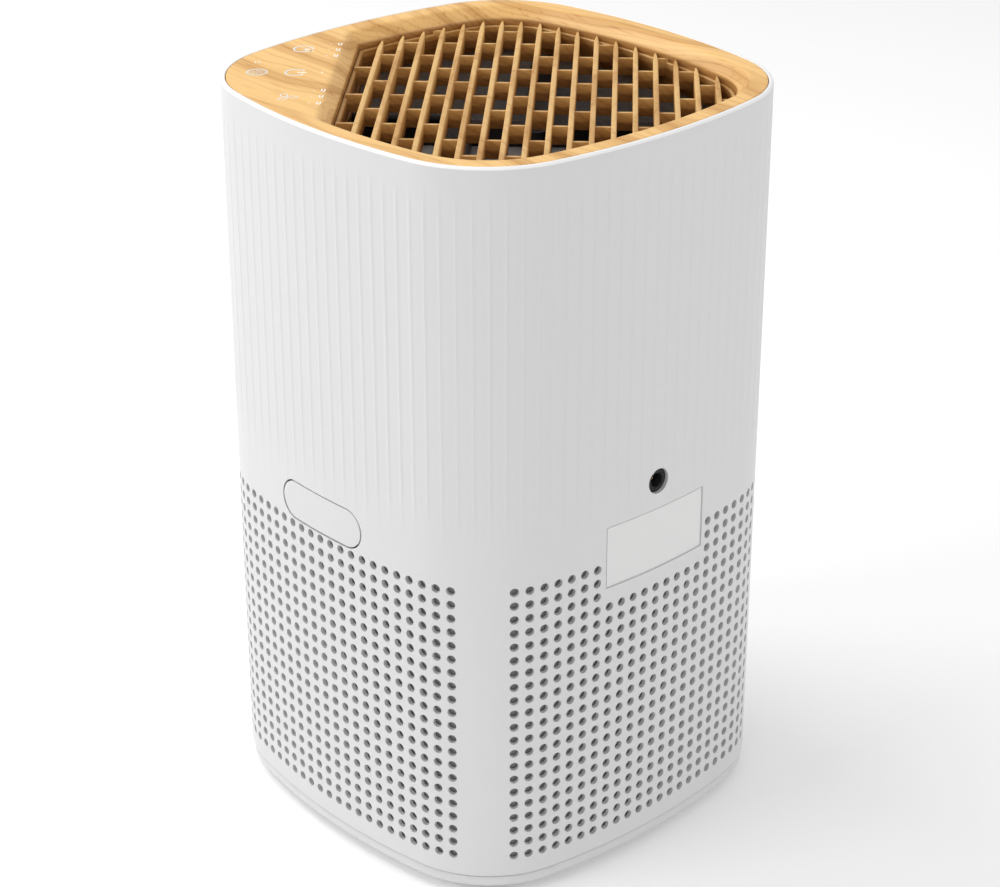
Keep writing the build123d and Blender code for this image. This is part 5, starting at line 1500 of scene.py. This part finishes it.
class PURIFIER_OT_filter(bpy.types.Operator):
    """Finish the filter: caps, pleats, carbon, net, gasket and pull tab"""

    bl_idname = "purifier.filter"
    bl_label = "Filter"

    def execute(self, context):
        housing, _, finish = settings()
        cap = moulded("Filter Cap", (0.78, 0.78, 0.77), 0.55, 0.00004, 0.03)
        for node in ("filter_top_cap", "filter_bottom_cap"):
            repaint(node, cap)
        net = woven("Filter Net", tuple(finish.net), 0.0012, 0.0003)
        plan = Plan(housing)
        runs = np.arange(2 * plan.flutes) / 2 * plan.pitch
        near, far = LINING_DEPTHS
        lining = ring_solid("intake_lining", [
            np.column_stack([plan.at(runs, depth), np.full(len(runs), height)])
            for depth, height in ((far, LINING_LOW), (near, LINING_LOW),
                                  (near, LINING_HIGH), (far, LINING_HIGH))])
        finish_piece(lining, "housing", "net_grey",
                     woven("Lining", tuple(finish.lining), 0.0012, 0.0003))
        loop = plan.at(runs, sum(LINING_DEPTHS) / 2)
        inner, outer, low, high = ring_size("prefilter_net")
        radius = (inner + outer) / 2
        hem = 0.004
        rings = []
        for side in (1, -1):
            column = [(low, 0.00035), (low + hem, 0.00035), (low + hem + 0.0004, 0.0002),
                      (high - hem - 0.0004, 0.0002), (high - hem, 0.00035), (high, 0.00035)]
            for height, half in column if side > 0 else column[::-1]:
                rings.append(circle_loop(radius + side * half, height, 168, 0.00012, 42))
        sleeve = ring_solid("filter_net", rings, 40.0)
        finish_piece(sleeve, "housing", "net_grey", net, "prefilter_net")
        pleats = woven("Pleated Paper", (0.85, 0.85, 0.82), 0.0007, 0.0001)
        media, length = pleated_ring("pleated_media", "hepa_pleats", 56, 0.0007)
        finish_piece(media, "housing", "hepa_media", pleats, "hepa_pleats")
        inner, outer, low, high = ring_size("hepa_pleats")
        carbon = woven("Carbon Cloth", (0.03, 0.03, 0.032), 0.0016, 0.0005)
        core = soft_ring("carbon_sleeve", "carbon_layer", 0.0006, 0.0002, 0.0001)
        finish_piece(core, "housing", "carbon_media", carbon, "carbon_layer")
        foam = woven("Gasket Foam", (0.12, 0.12, 0.125), 0.0009, 0.0004)
        seal = soft_ring("foam_gasket", "filter_gasket", 0.0008, 0.0003, 0.0001)
        finish_piece(seal, "housing", "gasket_foam", foam, "filter_gasket")
        tab = woven("Webbing", (0.05, 0.11, 0.30), 0.0010, 0.0003, 0.7)
        strap, flat = webbing_tab("pull_tab", "filter_pull_tab", 0.0005)
        finish_piece(strap, "housing", "tab_webbing", tab, "filter_pull_tab")
        return {"FINISHED"}


class PURIFIER_OT_fittings(bpy.types.Operator):
    """Finish the screws, power inlet, control board, leads and bearings"""

    bl_idname = "purifier.fittings"
    bl_label = "Fittings"

    def execute(self, context):
        steel = metal("Screw Steel", (0.62, 0.62, 0.60))
        blackened = metal("Blackened Steel", (0.05, 0.05, 0.05), 0.45)
        brass = metal("Pin Brass", (0.80, 0.58, 0.25), 0.25)
        copper = metal("Stator Copper", (0.75, 0.32, 0.15), 0.35, 2000.0)
        board = moulded("Board Green", (0.02, 0.16, 0.06), 0.35, 0.00001, 0.3)
        cream = moulded("Connector", (0.80, 0.76, 0.66), 0.45, 0.00002, 0.05)
        black = moulded("Inlet Black", (0.015, 0.015, 0.016), 0.35, 0.00003, 0.1)
        clear = moulded("Light Guide", (0.85, 0.88, 0.90), 0.2, 0.00001, 0.02)
        lead = moulded("Lead Sleeve", (0.02, 0.02, 0.02), 0.5, 0.00003, 0.1)
        magnet = metal("Magnet", (0.25, 0.25, 0.27), 0.5)
        finishes = {
            steel: ("base_screws", "deck_screws", "casing_screws", "duct_screws", "cover_screws",
                    "board_screws", "jack_screws", "motor_bearings", "motor_shaft",
                    "impeller_nut", "touch_springs"),
            blackened: ("bracket_screws",), brass: ("power_jack_pin",), copper: ("motor_stator",),
            board: ("control_board",), cream: ("motor_connector", "power_connector"),
            clear: ("indicator_light_guides",), lead: ("power_lead", "motor_lead"),
            magnet: ("motor_rotor",)}
        for material, nodes in finishes.items():
            for node in nodes:
                repaint(node, material)
        refined("power_jack", "inlet_socket", "housing", "jack_black", black)
        return {"FINISHED"}


# --- stage --------------------------------------------------------------------------------------

class PURIFIER_OT_stage(bpy.types.Operator):
    """Set the pale floor, soft lights and camera"""

    bl_idname = "purifier.stage"
    bl_label = "Stage"

    def execute(self, context):
        scene = context.scene
        floor = mesh_object("floor", [(-4, -4, 0), (4, -4, 0), (4, 4, 0), (-4, 4, 0)],
                            [(0, 1, 2, 3)])
        shader = Shader("Floor")
        speck = shader.noise(3.0, 2.0)
        shader.surface(Base_Color=shader.mix(speck, (0.90, 0.90, 0.90), (0.92, 0.92, 0.92)),
                       Roughness=0.7 + speck * 0.1, Emission_Color=(1.0, 1.0, 1.0),
                       Emission_Strength=0.12)
        floor.data.materials.append(shader.material)
        world = bpy.data.worlds.new("Studio")
        world.use_nodes = True
        world.node_tree.nodes["Background"].inputs[0].default_value = (1, 1, 1, 1)
        world.node_tree.nodes["Background"].inputs[1].default_value = 0.62
        scene.world = world
        for name, place, aim, power, size in (
                ("key", (-0.75, -2.4, 1.5), (0, 0, 0.18), 25.0, 1.3),
                ("fill", (2.6, 0.9, 1.4), (0, 0, 0.18), 16.5, 1.3),
                ("over", (-1.1, -0.4, 1.6), (0, 0, 0.3), 14.5, 1.0)):
            light = bpy.data.lights.new(name, "AREA")
            light.energy = power
            light.size = size
            lamp = bpy.data.objects.new(name, light)
            lamp.location = place
            way = Vector(aim) - Vector(place)
            lamp.rotation_euler = way.to_track_quat("-Z", "Y").to_euler()
            scene.collection.objects.link(lamp)
        yaw, pitch, roll = 0.8376, 0.4385, -0.0017
        camera = bpy.data.cameras.new("camera")
        camera.sensor_width = 36.0
        camera.lens = 89.47
        camera.shift_x = 0.0052
        camera.shift_y = -0.0391
        camera.clip_start = 0.01
        view = bpy.data.objects.new("camera", camera)
        back = Vector((sin(yaw) * cos(pitch), -cos(yaw) * cos(pitch), sin(pitch)))
        turn = back.to_track_quat("Z", "Y").to_matrix() @ Matrix.Rotation(roll, 3, "Z")
        view.rotation_euler = turn.to_euler()
        view.location = (0.73472, -0.66280, 0.64330)
        scene.collection.objects.link(view)
        scene.camera = view
        scene.view_settings.view_transform = "Standard"
        return {"FINISHED"}


# --- panel and registration ---------------------------------------------------------------------

OPERATORS = (PURIFIER_OT_stage, PURIFIER_OT_housing, PURIFIER_OT_cover, PURIFIER_OT_louvre,
             PURIFIER_OT_symbols, PURIFIER_OT_aroma, PURIFIER_OT_label, PURIFIER_OT_base,
             PURIFIER_OT_fan, PURIFIER_OT_filter, PURIFIER_OT_fittings)


class PURIFIER_PT_panel(bpy.types.Panel):
    """Lists the settings and the builders"""

    bl_label = "Purifier"
    bl_idname = "PURIFIER_PT_panel"
    bl_space_type = "VIEW_3D"
    bl_region_type = "UI"
    bl_category = "Purifier"

    def draw(self, context):
        layout = self.layout
        for group in settings():
            box = layout.box()
            for name in group.bl_rna.properties.keys():
                if name not in ("rna_type", "name"):
                    box.prop(group, name)
        for operator in OPERATORS:
            layout.operator(operator.bl_idname)


GROUPS = (("purifier_housing", HousingSettings), ("purifier_cover", CoverSettings),
          ("purifier_finish", FinishSettings))


def register():
    for name, group in GROUPS:
        bpy.utils.register_class(group)
        setattr(bpy.types.Scene, name, PointerProperty(type=group))
    for operator in OPERATORS:
        bpy.utils.register_class(operator)
    bpy.utils.register_class(PURIFIER_PT_panel)


def unregister():
    bpy.utils.unregister_class(PURIFIER_PT_panel)
    for operator in reversed(OPERATORS):
        bpy.utils.unregister_class(operator)
    for name, group in reversed(GROUPS):
        delattr(bpy.types.Scene, name)
        bpy.utils.unregister_class(group)


def main():
    """Build every piece in order."""
    register()
    for operator in OPERATORS:
        section, name = operator.bl_idname.split(".")
        getattr(getattr(bpy.ops, section), name)()


if __name__ == "__main__":
    main()
